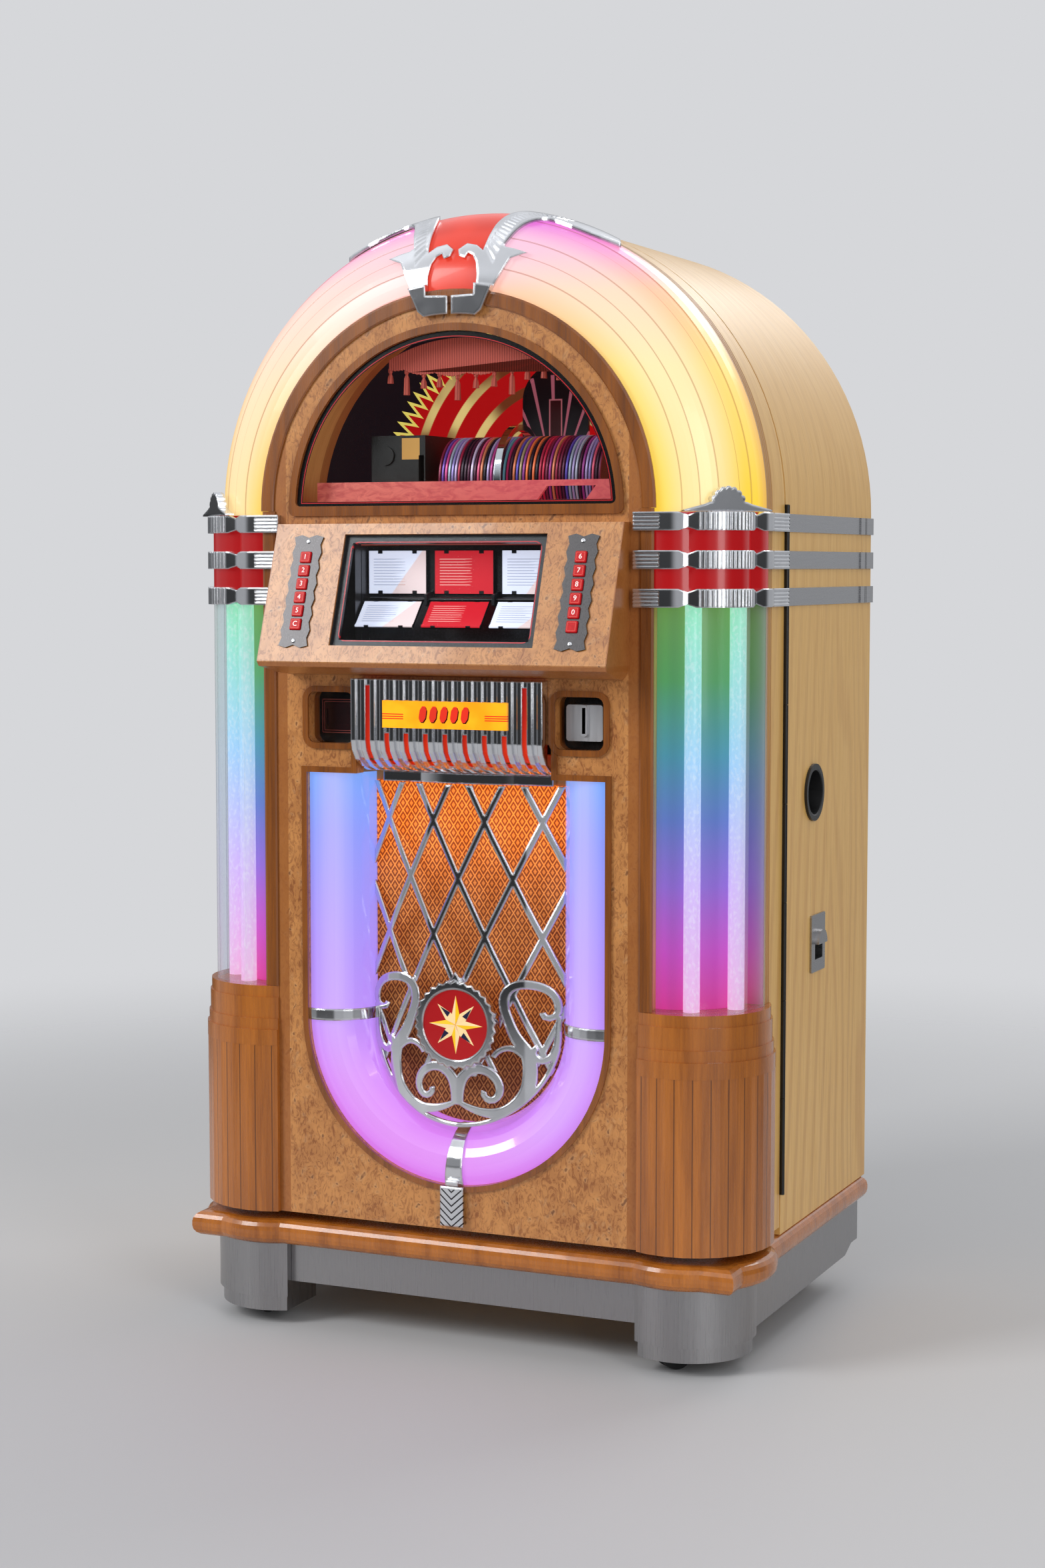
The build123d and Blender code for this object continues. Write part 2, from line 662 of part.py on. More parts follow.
def band_casting(top):
    bottom = top - band_height
    wrap = column_area(band_wall) - column_area(fit_gap)
    flutes = 13
    spread = 74.0
    for i in range(flutes):
        angle = radians(-45 + spread * (i / (flutes - 1) - 0.5))
        radius = 52 + band_wall
        along = (cos(angle), sin(angle))
        across = (-sin(angle), cos(angle))
        tip = (column_x + 56 + (radius - 3) * along[0], column_y - 56 + (radius - 3) * along[1])
        left = (column_x + 56 + (radius + 2) * along[0] - 2.2 * across[0],
                column_y - 56 + (radius + 2) * along[1] - 2.2 * across[1])
        right = (column_x + 56 + (radius + 2) * along[0] + 2.2 * across[0],
                 column_y - 56 + (radius + 2) * along[1] + 2.2 * across[1])
        wrap -= outline(tip, left, right)
    tab_front = face_y - band_tab_reach
    wrap -= plan_rect(0, column_x + 3, column_y - 200, column_y)
    wrap += plan_rect(ring_inner - 10, column_x + 14, tab_front, face_y - trim_proud - fit_gap) \
        - column_area(fit_gap)
    wrap += plan_rect(ring_inner - 10, ring_inner - 7, tab_front, face_y - fit_gap)
    tab_back = hinge_y - knuckle_radius - 0.8
    side_tab = plan_rect(half_width + fit_gap, half_width + band_tab_reach - 1, column_y - 14, tab_back)
    wrap += side_tab - column_area(fit_gap)
    band = rise(wrap, bottom, top)
    for u, v in ((44.5, 112), (112, 44.5)):
        centre = (column_x + u, column_y - v)
        plane_dir = (u, -v, 0)
        tangent = (v, u, 0)
        for z, sign in ((top, -1), (bottom, 1)):
            plane = Plane(origin=(centre[0], centre[1], z), x_dir=tangent, z_dir=plane_dir)
            up = 1 if plane.y_dir.Z > 0 else -1
            notch = outline((-12, -up * sign * 0.1), (12, -up * sign * 0.1), (0, up * sign * 4))
            band -= extrude(plane * notch, 16) + extrude(plane * notch, -16)
    for i in range(4):
        z = bottom + band_height * (i + 1) / 5
        band -= block(ring_inner - 11, column_x + 10, tab_front - 1, tab_front + 1, z - 0.9, z + 0.9)
        band -= block(half_width + band_tab_reach - 2, half_width + 20, column_y + 6, door_back_y + 1,
                      z - 0.9, z + 0.9)
    return band


def band_castings():
    pieces = []
    for top in band_tops:
        pieces += both_sides(band_casting(top))
    return pieces


# Red plastics: column inserts behind the bands, slots of the ribbed casting, medallion disc
def column_inserts():
    section = column_area(0) - column_area(-plastic_wall)
    low = band_zone_bottom_z + band_height / 2 + fit_gap
    return both_sides(rise(section, low, band_top_z))


def fall_profile(grow):
    # Side view: straight down, then curling back under the casting.
    bend = 42.0
    front = fall_front_y - grow
    points = [(face_y + 12, console_bottom_z - 6), (front, console_bottom_z - 6), (front, fall_bottom_z + bend)]
    centre_y, centre_z = fall_front_y + bend + 22, fall_bottom_z + bend
    for i in range(1, 6):
        angle = radians(90 * i / 5)
        points.append((centre_y - (bend + 22 + grow) * cos(angle), centre_z - (bend + grow) * sin(angle)))
    points.append((centre_y, fall_bottom_z + 14))
    points.append((face_y + 12, fall_bottom_z + 14))
    return points


def fall_skin(outer, inner, x0, x1):
    # Curved strip between two offsets of the side profile.
    skin = outline(*fall_profile(outer)) - outline(*fall_profile(inner))
    clear = outline((face_y - 2, fall_bottom_z + 13), (face_y + 60, fall_bottom_z + 13),
                    (face_y + 60, console_top_z), (face_y - 2, console_top_z))
    return side_slab(skin - clear, x0, x1)


slot_half = 5.0


def slot_places():
    return [(i * fall_pitch, tall_slot_top_z if abs(i) == 4 else short_slot_top_z) for i in range(-4, 5)]


def fall_inserts():
    pieces = []
    for x, top in slot_places():
        insert = fall_skin(-3 - fit_gap, -6 - fit_gap, x - slot_half - 2, x + slot_half + 2)
        keep = block(x - 20, x + 20, face_y - 60, face_y + 80, fall_bottom_z + 5, top + 3)
        pieces.append(insert & keep)
    return pieces


def medallion_disc():
    disc = Pos(0, medallion_y + 3.5, medallion_z) * Rot(90, 0, 0) * Cylinder(medallion_disc_radius - fit_gap, 4)
    return disc


# Ribbed casting: curved chrome plate, pierced by slots, with ribs between them
def waterfall_casting():
    plate = fall_skin(0, -3, -fall_half_width, fall_half_width)
    for x, top in slot_places():
        plate -= block(x - slot_half, x + slot_half, face_y - 60, face_y + 80, fall_bottom_z + 8, top)
    rib = fall_pitch / 4
    for i in range(-10, 11):
        x = (i + 0.5) * fall_pitch / 2
        if abs(x) > fall_half_width:
            continue
        plate += fall_skin(4, -0.5, x - rib / 2, x + rib / 2)
    for side in (-1, 1):
        cheek = outline(*fall_profile(0)) - outline((face_y - 1, 0), (face_y + 99, 0), (face_y + 99, 2000),
                                                   (face_y - 1, 2000))
        x = side * (fall_half_width - 1.5)
        plate += side_slab(cheek, x - 1.5, x + 1.5)
    return plate


def name_panel():
    # Bare lit panel clipped over the ribs.
    half = fall_half_width - 47
    return block(-half, half, fall_front_y - 7.3, fall_front_y - 4.3, fall_bottom_z + 60, fall_bottom_z + 96.5)


def shelf_bar():
    half = fall_half_width - 11.5
    area = plan_rect(-half, half, face_y + 44, face_y + 56)
    area += Pos(0, face_y + 44 + 240) * Circle(250) & plan_rect(-80, 80, face_y + 30, face_y + 50)
    return rise(area, bar_z - bar_height / 2, bar_z + bar_height / 2)


def recess_tub(side):
    # Open box screwed behind the face, as the recess's walls and floor.
    walls = recess_area(side, 8) - recess_area(side, 0)
    tub = front_slab(walls, facia_back_y + fit_gap, recess_floor_y + 1)
    return tub + front_slab(recess_area(side, 8), recess_floor_y, recess_floor_y + 3)


def credit_display():
    # Dark display case in the left-hand recess, behind a pane.
    window = Pos(-recess_x, recess_z) * Rectangle(50, 22)
    return recess_tub(-1) - front_slab(window, recess_floor_y - 1, recess_floor_y + 2)


def coin_entry():
    # Coin slot block set back in the right-hand recess.
    back = recess_tub(1)
    block_area = Pos(recess_x, recess_z) * RectangleRounded(52, 48, 4)
    block_face = front_slab(block_area, face_y + 16, recess_floor_y + 1)
    ring = front_slab(Pos(recess_x, recess_z + 3) * RectangleRounded(10, 42, 4.9), face_y + 13, face_y + 17)
    slot = front_slab(Pos(recess_x, recess_z + 3) * RectangleRounded(4.6, 34, 2.2), face_y + 10, face_y + 40)
    return back + block_face + ring - slot


# Title console: sloping box with a window, a pocket behind it and holes for the keys
def key_places():
    places = []
    for side, names in ((-1, ("1", "2", "3", "4", "5", "cancel")), (1, ("6", "7", "8", "9", "0", "blank"))):
        for i, name in enumerate(names):
            along = 48.5 - i * key_pitch
            places.append((f"key_{name}", side * key_plate_x, along))
    return places


def console_box():
    side_view = outline((face_y - fit_gap, console_top_z), (console_top_y, console_top_z),
                        (console_front_y, console_lip_z), (console_front_y + 4, console_lip_z - 7),
                        (console_front_y + 55, console_bottom_z), (face_y - fit_gap, console_bottom_z - 3))
    shell = side_slab(side_view, -console_half_width, console_half_width)
    front_view = Pos(0, (console_top_z + console_bottom_z - 10) / 2) * Rectangle(
        2 * console_half_width, console_top_z - console_bottom_z + 10)
    lower = front_view.vertices().group_by(Axis.Y)[0]
    front_view = fillet(lower, console_corner)
    shell &= front_slab(front_view, console_front_y - 5, face_y)
    pocket_view = outline((face_y + 5, console_top_z - 10), (console_top_y + 12, console_top_z - 10),
                          (console_front_y + 13, console_lip_z + 6), (face_y + 5, console_lip_z + 6))
    shell -= side_slab(pocket_view, -console_half_width + 10, console_half_width - 10)
    window = Pos(0, title_centre) * Rectangle(2 * title_half_width, title_height)
    shell -= on_slope(window, -30, 5)
    for _, x, along in key_places():
        shell -= on_slope(Pos(x, along) * Rectangle(key_size + 0.8, key_size + 0.8), -30, 5)
    return shell


def title_frame():
    # Black frame that holds the title pane in the sloping face.
    area = Rectangle(2 * title_half_width - 2 * fit_gap, title_height - 2 * fit_gap)
    area -= Rectangle(2 * title_half_width - 20, title_height - 20)
    frame = on_slope(Pos(0, title_centre) * area, -12, -7 - fit_gap)
    return frame


def key_plate(side):
    # Scalloped steel plate: shallow waves down both long sides, points at the ends.
    half, length = key_plate_width / 2, key_plate_length
    waves = 7
    step = length / waves
    points = []
    for i in range(waves * 4 + 1):
        y = length / 2 - i * step / 4
        wave = 1.6 * cos(radians(90 * i))
        points.append((half - 1.6 + wave, y))
    left = [(-x, y) for x, y in reversed(points)]
    bottom = [(half / 2, -length / 2 - 3), (0, -length / 2 + 1), (-half / 2, -length / 2 - 3)]
    top = [(-half / 2, length / 2 + 3), (0, length / 2 - 1), (half / 2, length / 2 + 3)]
    area = outline(*(points + bottom + left + top))
    for _, x, along in key_places():
        if x * side > 0:
            area -= Pos(0, along - key_plate_shift) * Rectangle(key_size + 0.8, key_size + 0.8)
    return on_slope(Pos(side * key_plate_x, key_plate_shift) * area, fit_gap, fit_gap + key_plate_thickness)


key_plate_shift = 1.0


def key(x, along):
    top = fit_gap + key_plate_thickness + key_proud
    cap = Pos(x, along) * chamfer(Rectangle(key_size, key_size).vertices(), 1.2)
    stem = Pos(x, along) * Rectangle(7, 7)
    shape = on_slope(cap, -3, top)
    shape += on_slope(stem, -14, -2)
    face = shape.faces().sort_by(lambda f: (f.center() - Vector(*slope_mid)).dot(slope_plane.z_dir))[-1]
    return chamfer(face.edges(), 0.8)


# Title leaves: a fixed upper row of cards and a lower row that flips up on one shaft
leaf_pitch = (2 * title_half_width + 3) / 3
leaf_width = leaf_pitch - 12.0
leaf_length = 50.0
rack_half_width = title_half_width - 0.5
rack_bottom_z = console_lip_z + 14.0
rack_top_z = console_lip_z + 154.0
title_axis_y = face_y + 26.0
title_axis_z = console_lip_z + 82.0
leaf_tilt = 42.0
shaft_radius = 3.0


def title_rack():
    rack = block(-rack_half_width, rack_half_width, title_axis_y + 14, title_axis_y + 17,
                 rack_bottom_z, rack_top_z)
    for i in (-1, 0, 1):
        x = i * leaf_pitch
        rack += block(x - leaf_width / 2, x + leaf_width / 2, title_axis_y + 9, title_axis_y + 15,
                      title_axis_z + 8, title_axis_z + 66)
    for x in (-rack_half_width, -leaf_pitch / 2, leaf_pitch / 2, rack_half_width):
        cheek = outline((title_axis_y - 7, title_axis_z - 7), (title_axis_y - 7, title_axis_z + 7),
                        (title_axis_y + 15, title_axis_z + 12), (title_axis_y + 15, title_axis_z - 12))
        rack += side_slab(cheek, x - 2, x + 2)
    for side in (-1, 1):
        rack += block(side * (rack_half_width - 2), side * (rack_half_width + 12), facia_back_y + fit_gap,
                      title_axis_y + 17, rack_bottom_z, rack_top_z)
    return rack - Pos(0, title_axis_y, title_axis_z) * Rot(0, 90, 0) * Cylinder(shaft_radius + running_gap, 400)


def title_leaves():
    shaft = Pos(0, title_axis_y, title_axis_z) * Rot(0, 90, 0) * Cylinder(shaft_radius, 2 * rack_half_width)
    leaves = shaft
    for i in (-1, 0, 1):
        x = i * leaf_pitch
        leaf = block(x - leaf_width / 2, x + leaf_width / 2, -1.5, 1.5, -leaf_length, 0)
        leaf += block(x - leaf_width / 2, x + leaf_width / 2, -2.5, 2.5, -leaf_length, -leaf_length + 4)
        leaves += Pos(0, title_axis_y, title_axis_z) * Rot(-leaf_tilt, 0, 0) * leaf
    return leaves


# Light tube, its straps, grille and scrolls
def tube_section(grow):
    # Plan section from the outer edge, over the crown, back to the inner edge.
    outer = (tube_outer, face_y + 5 - grow)
    crown = (tube_outer - 36, face_y + 5.5 - grow)
    inner = (tube_inner, face_y + 52 - grow)
    return outer, crown, inner


def tube_face(grow, wall):
    # Faceted bow between the section's outer edge, crown and inner edge.
    facets = 8
    front = ThreePointArc(*tube_section(grow))
    back = ThreePointArc(*tube_section(grow - wall))
    near = [front @ (i / facets) for i in range(facets + 1)]
    far = [back @ (1 - i / facets) for i in range(facets + 1)]
    return outline(*[(point.X, point.Y) for point in near + far])


def u_turn(section, top):
    axis = Axis((0, 0, tube_centre_z), (0, 1, 0))
    right = rise(section, tube_centre_z, top)
    return right + mirror(right, about=Plane.YZ) + revolve(Pos(0, 0, tube_centre_z) * section, axis, 180)


def u_tube():
    return u_turn(tube_face(0, 4.0), tube_top_z)


def tube_straps():
    # Two side straps that follow the tube, and the lower strap with its leaf plate.
    section = tube_face(5.0, 4.0)
    side = rise(section, tube_centre_z - 8, tube_centre_z + 8)
    axis = Axis((0, 0, tube_centre_z), (0, 1, 0))
    low = revolve(Pos(0, 0, tube_centre_z) * section, axis, 7)
    low = low.rotate(axis, 90 - 3.5)
    plate = block(-17, 17, face_y - trim_proud - fit_gap - 5, face_y - trim_proud - fit_gap,
                  door_bottom_z + 6.5, tube_bottom_z - 0.5)
    plate += block(-9, 9, face_y - trim_proud - fit_gap - 5, face_y + 2, tube_bottom_z + 1, tube_bottom_z + 8)
    pieces = both_sides(side)
    pieces.append(low + plate)
    return pieces


medallion_y = face_y + 5.0
grille_bow = 34.0
grille_front_y = face_y + 14.0


def bowed_sheet(front, back):
    # Faceted sheet, bowed forward in the middle.
    half = tube_inner - 0.6
    stations = [-1, -0.66, -0.33, 0, 0.33, 0.66, 1]
    near = [(s * half, front + grille_bow * s * s) for s in stations]
    far = [(s * half, back + grille_bow * s * s) for s in reversed(stations)]
    return rise(outline(*near, *far), tube_centre_z - tube_inner - 1, bar_z - bar_height / 2 - fit_gap)


def grille_inside(grow):
    area = Pos(0, tube_centre_z) * Circle(tube_inner + grow)
    height = bar_z - bar_height / 2 - fit_gap - tube_centre_z
    return area + Pos(0, tube_centre_z + height / 2) * Rectangle(2 * (tube_inner + grow), height)


def grille_lattice():
    lean = degrees(atan2(lattice_pitch_z / 2, lattice_pitch_x / 2))
    bars = None
    step = lattice_pitch_x
    for i in range(-6, 7):
        for sign in (-1, 1):
            bar = Pos(i * step, lattice_node_z) * Rot(0, 0, sign * lean) * Rectangle(1200, lattice_bar)
            bars = bar if bars is None else bars + bar
    bars &= grille_inside(-0.6)
    bars -= Pos(0, medallion_z) * Circle(medallion_radius - 2)
    bars -= Pos(0, lattice_bottom_z - 200) * Rectangle(600, 400)
    return front_slab(bars, face_y - 5, face_y + 70) & bowed_sheet(grille_front_y, grille_front_y + 5)


def grille_cloth():
    area = grille_inside(-1)
    return front_slab(area, baffle_front_y - 3 - fit_gap, baffle_front_y - fit_gap)


def ribbon(points, half_widths):
    # Band of changing width along a smooth line through the points.
    line = Spline(*points)
    count = 3 * (len(points) - 1)
    near, far = [], []
    for i in range(count + 1):
        place, way = line @ (i / count), line % (i / count)
        step = i / count * (len(half_widths) - 1)
        low = min(int(step), len(half_widths) - 2)
        half = half_widths[low] + (half_widths[low + 1] - half_widths[low]) * (step - low)
        near.append((place.X - way.Y * half, place.Y + way.X * half))
        far.append((place.X + way.Y * half, place.Y - way.X * half))
    return outline(*near, *reversed(far))


def scroll_half():
    # Right-hand half of the scrollwork, measured from the medallion's centre.
    sweep = ribbon([(2, -106), (20, -114), (44, -119), (66, -116), (84, -104), (97, -86), (101, -63),
                    (97, -36), (84, -17), (72, 9), (66, 34), (71, 49), (85, 57), (106, 57), (127, 48),
                    (136, 32), (133, 16), (122, 13), (116, 20)],
                   [3, 6, 8, 9.5, 9, 7, 6.5, 6, 5, 4])
    curl = ribbon([(0, -110), (2, -88), (10, -70), (26, -60), (46, -63), (59, -77), (60, -92), (51, -101),
                   (41, -98), (39, -89)], [9, 8, 6.5, 6, 5, 4])
    hook = ribbon([(101, -54), (91, -38), (75, -29), (60, -33), (52, -42)], [3, 4, 4, 3.5])
    side = ribbon([(138, 16), (136, -8), (133, -30), (124, -43), (112, -45), (105, -36), (110, -27)],
                  [3, 4, 5, 4.5, 4])
    return sweep + curl + hook + side


def rim_band():
    # Thin band that follows the tube round the bottom of the grille.
    ring = Pos(0, tube_centre_z) * (Circle(tube_inner - 1) - Circle(tube_inner - 7))
    return ring & Pos(0, tube_centre_z - 30 - tube_inner / 2) * Rectangle(2 * tube_inner, tube_inner)


def scroll_casting():
    half = Pos(0, medallion_z) * scroll_half()
    scroll = half + mirror(half, about=Plane.YZ) + rim_band()
    scroll -= Pos(0, medallion_z) * Circle(medallion_radius - 3)
    scroll &= grille_inside(-1)
    scroll = front_slab(scroll, face_y - 5, face_y + 70)
    return scroll & bowed_sheet(grille_front_y - 5, grille_front_y - fit_gap)


def medallion_ring():
    teeth = 30
    points = []
    for i in range(teeth * 2):
        radius = medallion_radius if i % 2 else medallion_radius - 3.5
        angle = radians(i * 180 / teeth)
        points.append((radius * cos(angle), medallion_z + radius * sin(angle)))
    area = outline(*points) - Pos(0, medallion_z) * Circle(medallion_disc_radius)
    ring = front_slab(area, medallion_y - 2, grille_front_y - fit_gap)
    back = front_slab(Pos(0, medallion_z) * Circle(medallion_disc_radius + 4), medallion_y + 6,
                      grille_front_y - fit_gap)
    point = front_slab(outline((-9, medallion_z + 58), (9, medallion_z + 58), (0, medallion_z + 73)),
                       medallion_y - 1, grille_front_y - fit_gap)
    return ring + back + point


# Crown castings, seated on the arch plastics, and shell crests on the top bands
def crown_shell(low, high):
    # Space between two heights above the round of the arch, near its top.
    ring = Pos(column_x, column_y) * (Circle(column_round + high) - Circle(column_round + low))
    ring &= plan_rect(column_x - 0.5, half_width + 30, column_y - 140, column_y + 3)
    ring -= plan_rect(0, ring_outer + fit_gap, face_y - trim_proud - fit_gap, column_y)
    return arch_turn(ring, 55, 37)


def crown_casting():
    # Foot and forked stem over the front of the arch, with a ribbed feather that runs back over its top.
    top = overall_height
    stem = outline((3, top - 147), (33, top - 149), (46, top - 139), (59, top - 111), (68, top - 94),
                   (80, top - 72), (101, top - 65), (83, top - 59), (70, top - 56), (62, top - 50),
                   (47, top - 54), (40, top - 60), (29, top - 52), (15, top - 49), (4, top - 57),
                   (7, top - 66), (15, top - 69), (19, top - 62), (27, top - 66), (33, top - 76),
                   (36, top - 92), (35, top - 118), (3, top - 119))
    feather = ribbon([(46, face_y + 3), (59, face_y + 37), (74, face_y + 77), (96, face_y + 100),
                      (128, face_y + 99), (160, face_y + 99), (196, face_y + 108)],
                     [8, 14, 17, 20, 18, 19, 15])
    stem = front_slab(stem, face_y - 20, column_y - 20)
    feather = rise(feather & plan_rect(0, 300, face_y - 20, column_y), top - 90, top + 20)
    casting = (stem + feather) & crown_shell(1.5 + fit_gap, 7)
    plate_front = face_y - trim_proud - 7
    plate = plan_rect(ring_inner - 14, ring_outer + 8, plate_front, face_y - trim_proud - fit_gap)
    plate += plan_rect(ring_outer + fit_gap, ring_outer + 8, plate_front, face_y + 2)
    return casting + (arch_turn(plate, 70, 20) & stem) - crown_ribs()


def crown_ribs():
    # Cross flutes of the feather, as shallow cuts round its back.
    line = Spline((50, face_y + 10), (62, face_y + 40), (74, face_y + 70), (98, face_y + 92),
                  (136, face_y + 94))
    cuts = None
    count = 24
    for i in range(count):
        place, way = line @ (i / count), line % (i / count)
        cut = Pos(place.X, place.Y) * Rot(0, 0, degrees(atan2(way.Y, way.X))) * Rectangle(2.2, 17)
        cuts = cut if cuts is None else cuts + cut
    return rise(cuts, overall_height - 90, overall_height + 20) & crown_shell(5.6, 12)


def shell_crest():
    # Scallop shell with radial ribs, on a tapering wing along the top band.
    ribs = 9
    fan = Pos(0, 4) * (Circle(22) & Pos(0, 20) * Rectangle(80, 40))
    for i in range(ribs):
        angle = radians(180 * (i + 0.5) / ribs)
        fan += Pos(22 * cos(angle), 4 + 24 * sin(angle)) * Circle(4.6)
    wings = outline((-62, 0), (62, 0), (62, 2), (34, 9), (26, 12), (-26, 12), (-34, 9), (-62, 2))
    area = fan & Pos(0, 30) * Rectangle(90, 60)
    face = (area + wings)
    reach = 56 * sqrt(2) + 52 + 1
    direction = Vector(1, -1, 0).normalized()
    origin = Vector(column_x, column_y, band_top_z + fit_gap) + direction * (reach - 12)
    plane = Plane(origin=origin, x_dir=(1, 1, 0), z_dir=(1, -1, 0))
    crest = extrude(plane * face, 12)
    return crest


# Wooden pilaster base: faceted staves below three stepped rings
def pilaster_base():
    def section(radius, sides):
        if sides:
            points = [(base_x + radius * cos(radians(a)), base_y + radius * sin(radians(a)))
                      for a in [i * 360 / sides for i in range(sides)]]
            area = outline(*points)
        else:
            area = Pos(base_x, base_y) * Circle(radius)
        area &= plan_rect(ring_inner - 2.4, half_width + 40, face_y - 60, column_y + 44)
        area -= plan_rect(0, face_half_width + fit_gap, face_y - fit_gap, 0)
        area -= plan_rect(0, half_width + fit_gap, column_y - fit_gap, 100)
        return area

    base = rise(section(base_round, 28), door_bottom_z, base_steps[0][0])
    for i, (z0, inset) in enumerate(base_steps):
        z1 = base_steps[i + 1][0] if i + 1 < len(base_steps) else base_top_z
        base += rise(section(base_round - inset, 0), z0, z1)
    return base


# Disc mechanism on its deck
def mechanism_deck():
    z0, z1 = deck_top_z - board, deck_top_z
    deck = block(-half_width + board + fit_gap, half_width - board - fit_gap, split_y + 12, deck_back_y, z0, z1)
    deck += block(-deck_half_width, deck_half_width, facia_back_y + 22, split_y + 13, z0, z1)
    fascia_y = facia_back_y + 22
    fascia = block(-deck_half_width, deck_half_width, fascia_y - 6, fascia_y - fit_gap, z0 - 2, spring_z + 39)
    vent = outline((-42, -9), (28, -9), (42, 9), (-28, 9))
    fascia -= front_slab(Pos(150, spring_z + 22) * vent, fascia_y - 7, fascia_y + 1)
    return [deck, fascia]


def backdrop_panel():
    area = arch_face(half_width - board - 4, deck_top_z + fit_gap)
    return front_slab(area, backdrop_y, backdrop_y + 6)


rail_offset = 46.0
rail_radius = 5.0
rail_y = disc_row_y + disc_radius + 34


def disc_magazine():
    # Slotted tray with end cheeks, and the two rails of the carriage behind it.
    x0, x1 = disc_row_x
    tray_half = 46.0
    seat_radius = disc_radius - 6
    seat = [(disc_row_y + seat_radius * cos(radians(a)), disc_axis_z + seat_radius * sin(radians(a)))
            for a in range(-40, -141, -20)]
    rim_z = seat[0][1]
    front, back = disc_row_y - tray_half, disc_row_y + tray_half
    tray_view = outline((front, deck_top_z + fit_gap), (back, deck_top_z + fit_gap), (back, rim_z), *seat,
                        (front, rim_z))
    tray = side_slab(tray_view, x0 - 8, x1 + 8)
    for i in range(disc_count):
        slot = disc_outline(disc_radius + fit_gap)
        tray -= side_slab(slot, disc_place(i) - 1, disc_place(i) + 1)
    rails = []
    for x in (-200, 212):
        post = block(x - 5, x + 5, rail_y - 12, rail_y + 12, deck_top_z + fit_gap,
                     disc_axis_z + rail_offset / 2 + 14)
        for z in (-rail_offset / 2, rail_offset / 2):
            post -= Pos(x, rail_y, disc_axis_z + z) * Rot(0, 90, 0) * Cylinder(rail_radius, 30)
        rails.append(post)
    for z in (-rail_offset / 2, rail_offset / 2):
        rails.append(Pos(6, rail_y, disc_axis_z + z) * Rot(0, 90, 0) * Cylinder(rail_radius, 430))
    return [tray] + rails


def disc_place(i):
    x0, x1 = disc_row_x
    return x0 + i * (x1 - x0) / (disc_count - 1)


def disc_outline(radius):
    # Side view of a disc, with few sides because the row repeats it.
    return Pos(disc_row_y, disc_axis_z) * RegularPolygon(radius, disc_sides)


def compact_discs():
    disc = disc_outline(disc_radius) - Pos(disc_row_y, disc_axis_z) * RegularPolygon(7.5, 10)
    return [side_slab(disc, disc_place(i) - 0.6, disc_place(i) + 0.6) for i in range(disc_count)]


def disc_player():
    x0, x1 = -156.0, -74.0
    z0, z1 = deck_top_z + fit_gap, disc_axis_z + 62
    body = block(x0, x1, disc_row_y - 50, disc_row_y + 50, z0, z1)
    body -= block(x1 - 14, x1 + 1, disc_row_y - 62, disc_row_y + 62, disc_axis_z - 62, z1 + 1) \
        & Pos(x1 - 6, disc_row_y, disc_axis_z) * Rot(0, 90, 0) * Cylinder(61, 8)
    body += Pos(x1 - 8, disc_row_y, disc_axis_z) * Rot(0, 90, 0) * Cylinder(7, 6)
    badge = Pos(x0 + 22, disc_row_y - 51, disc_axis_z + 35) * Rot(90, 0, 0) * Cylinder(13, 3)
    return body + badge


carriage_x = 45.0
arm_radius = disc_radius + 8


pivot_y = rail_y - 24
pivot_z = disc_axis_z + rail_offset / 2
pivot_radius = 3.0


def disc_carriage():
    body = block(carriage_x - 16, carriage_x + 16, rail_y - 13, rail_y + 13,
                 disc_axis_z - rail_offset / 2 - 12, disc_axis_z + rail_offset / 2 + 12)
    for z in (-rail_offset / 2, rail_offset / 2):
        bore = Rot(0, 90, 0) * Cylinder(rail_radius + running_gap, 60)
        body -= Pos(carriage_x, rail_y, disc_axis_z + z) * bore
    for side in (-1, 1):
        x = carriage_x + side * 9
        body += block(x - 3, x + 3, pivot_y - 6, rail_y - 12, pivot_z - 6, pivot_z + 6)
    return body + Pos(carriage_x, pivot_y, pivot_z) * Rot(0, 90, 0) * Cylinder(pivot_radius, 24)


def gripper_arm():
    # Curved arm over the discs, hung on the carriage, with a gripping finger at the front.
    ring = Pos(disc_row_y, disc_axis_z) * (Circle(arm_radius + 8) - Circle(arm_radius))
    keep = outline((disc_row_y, disc_axis_z), (pivot_y + 30, pivot_z + 11),
                   (disc_row_y + 100, disc_axis_z + 200),
                   (disc_row_y - 200, disc_axis_z + 200), (disc_row_y - 200, disc_axis_z - 40))
    area = (ring & keep) + Pos(pivot_y, pivot_z) * Circle(7)
    arm = side_slab(area, carriage_x - 5, carriage_x + 5)
    return arm - Pos(carriage_x, pivot_y, pivot_z) * Rot(0, 90, 0) * Cylinder(pivot_radius + running_gap, 30)


# Amplifier on the cabinet floor, loudspeaker behind the grille
def amplifier_chassis():
    z0 = moulding_top_z + board + fit_gap
    front = split_y + 81
    box = block(-60, 300, front, back_y - 89, z0, z0 + 110)
    for i in range(9):
        box -= block(-50 + i * 40, -30 + i * 40, front - 1, front + 25, z0 + 20, z0 + 111)
    return box


def loudspeaker():
    y = baffle_front_y + 12 + fit_gap
    profile = outline((speaker_radius, y), (speaker_radius, y + 5), (52, y + 62), (52, y + 84), (0, y + 84),
                      (0, y + 46), (22, y + 46), (speaker_radius - 20, y))
    return Pos(0, 0, baffle_hole_z) * revolve(profile, Axis.Y, 360)


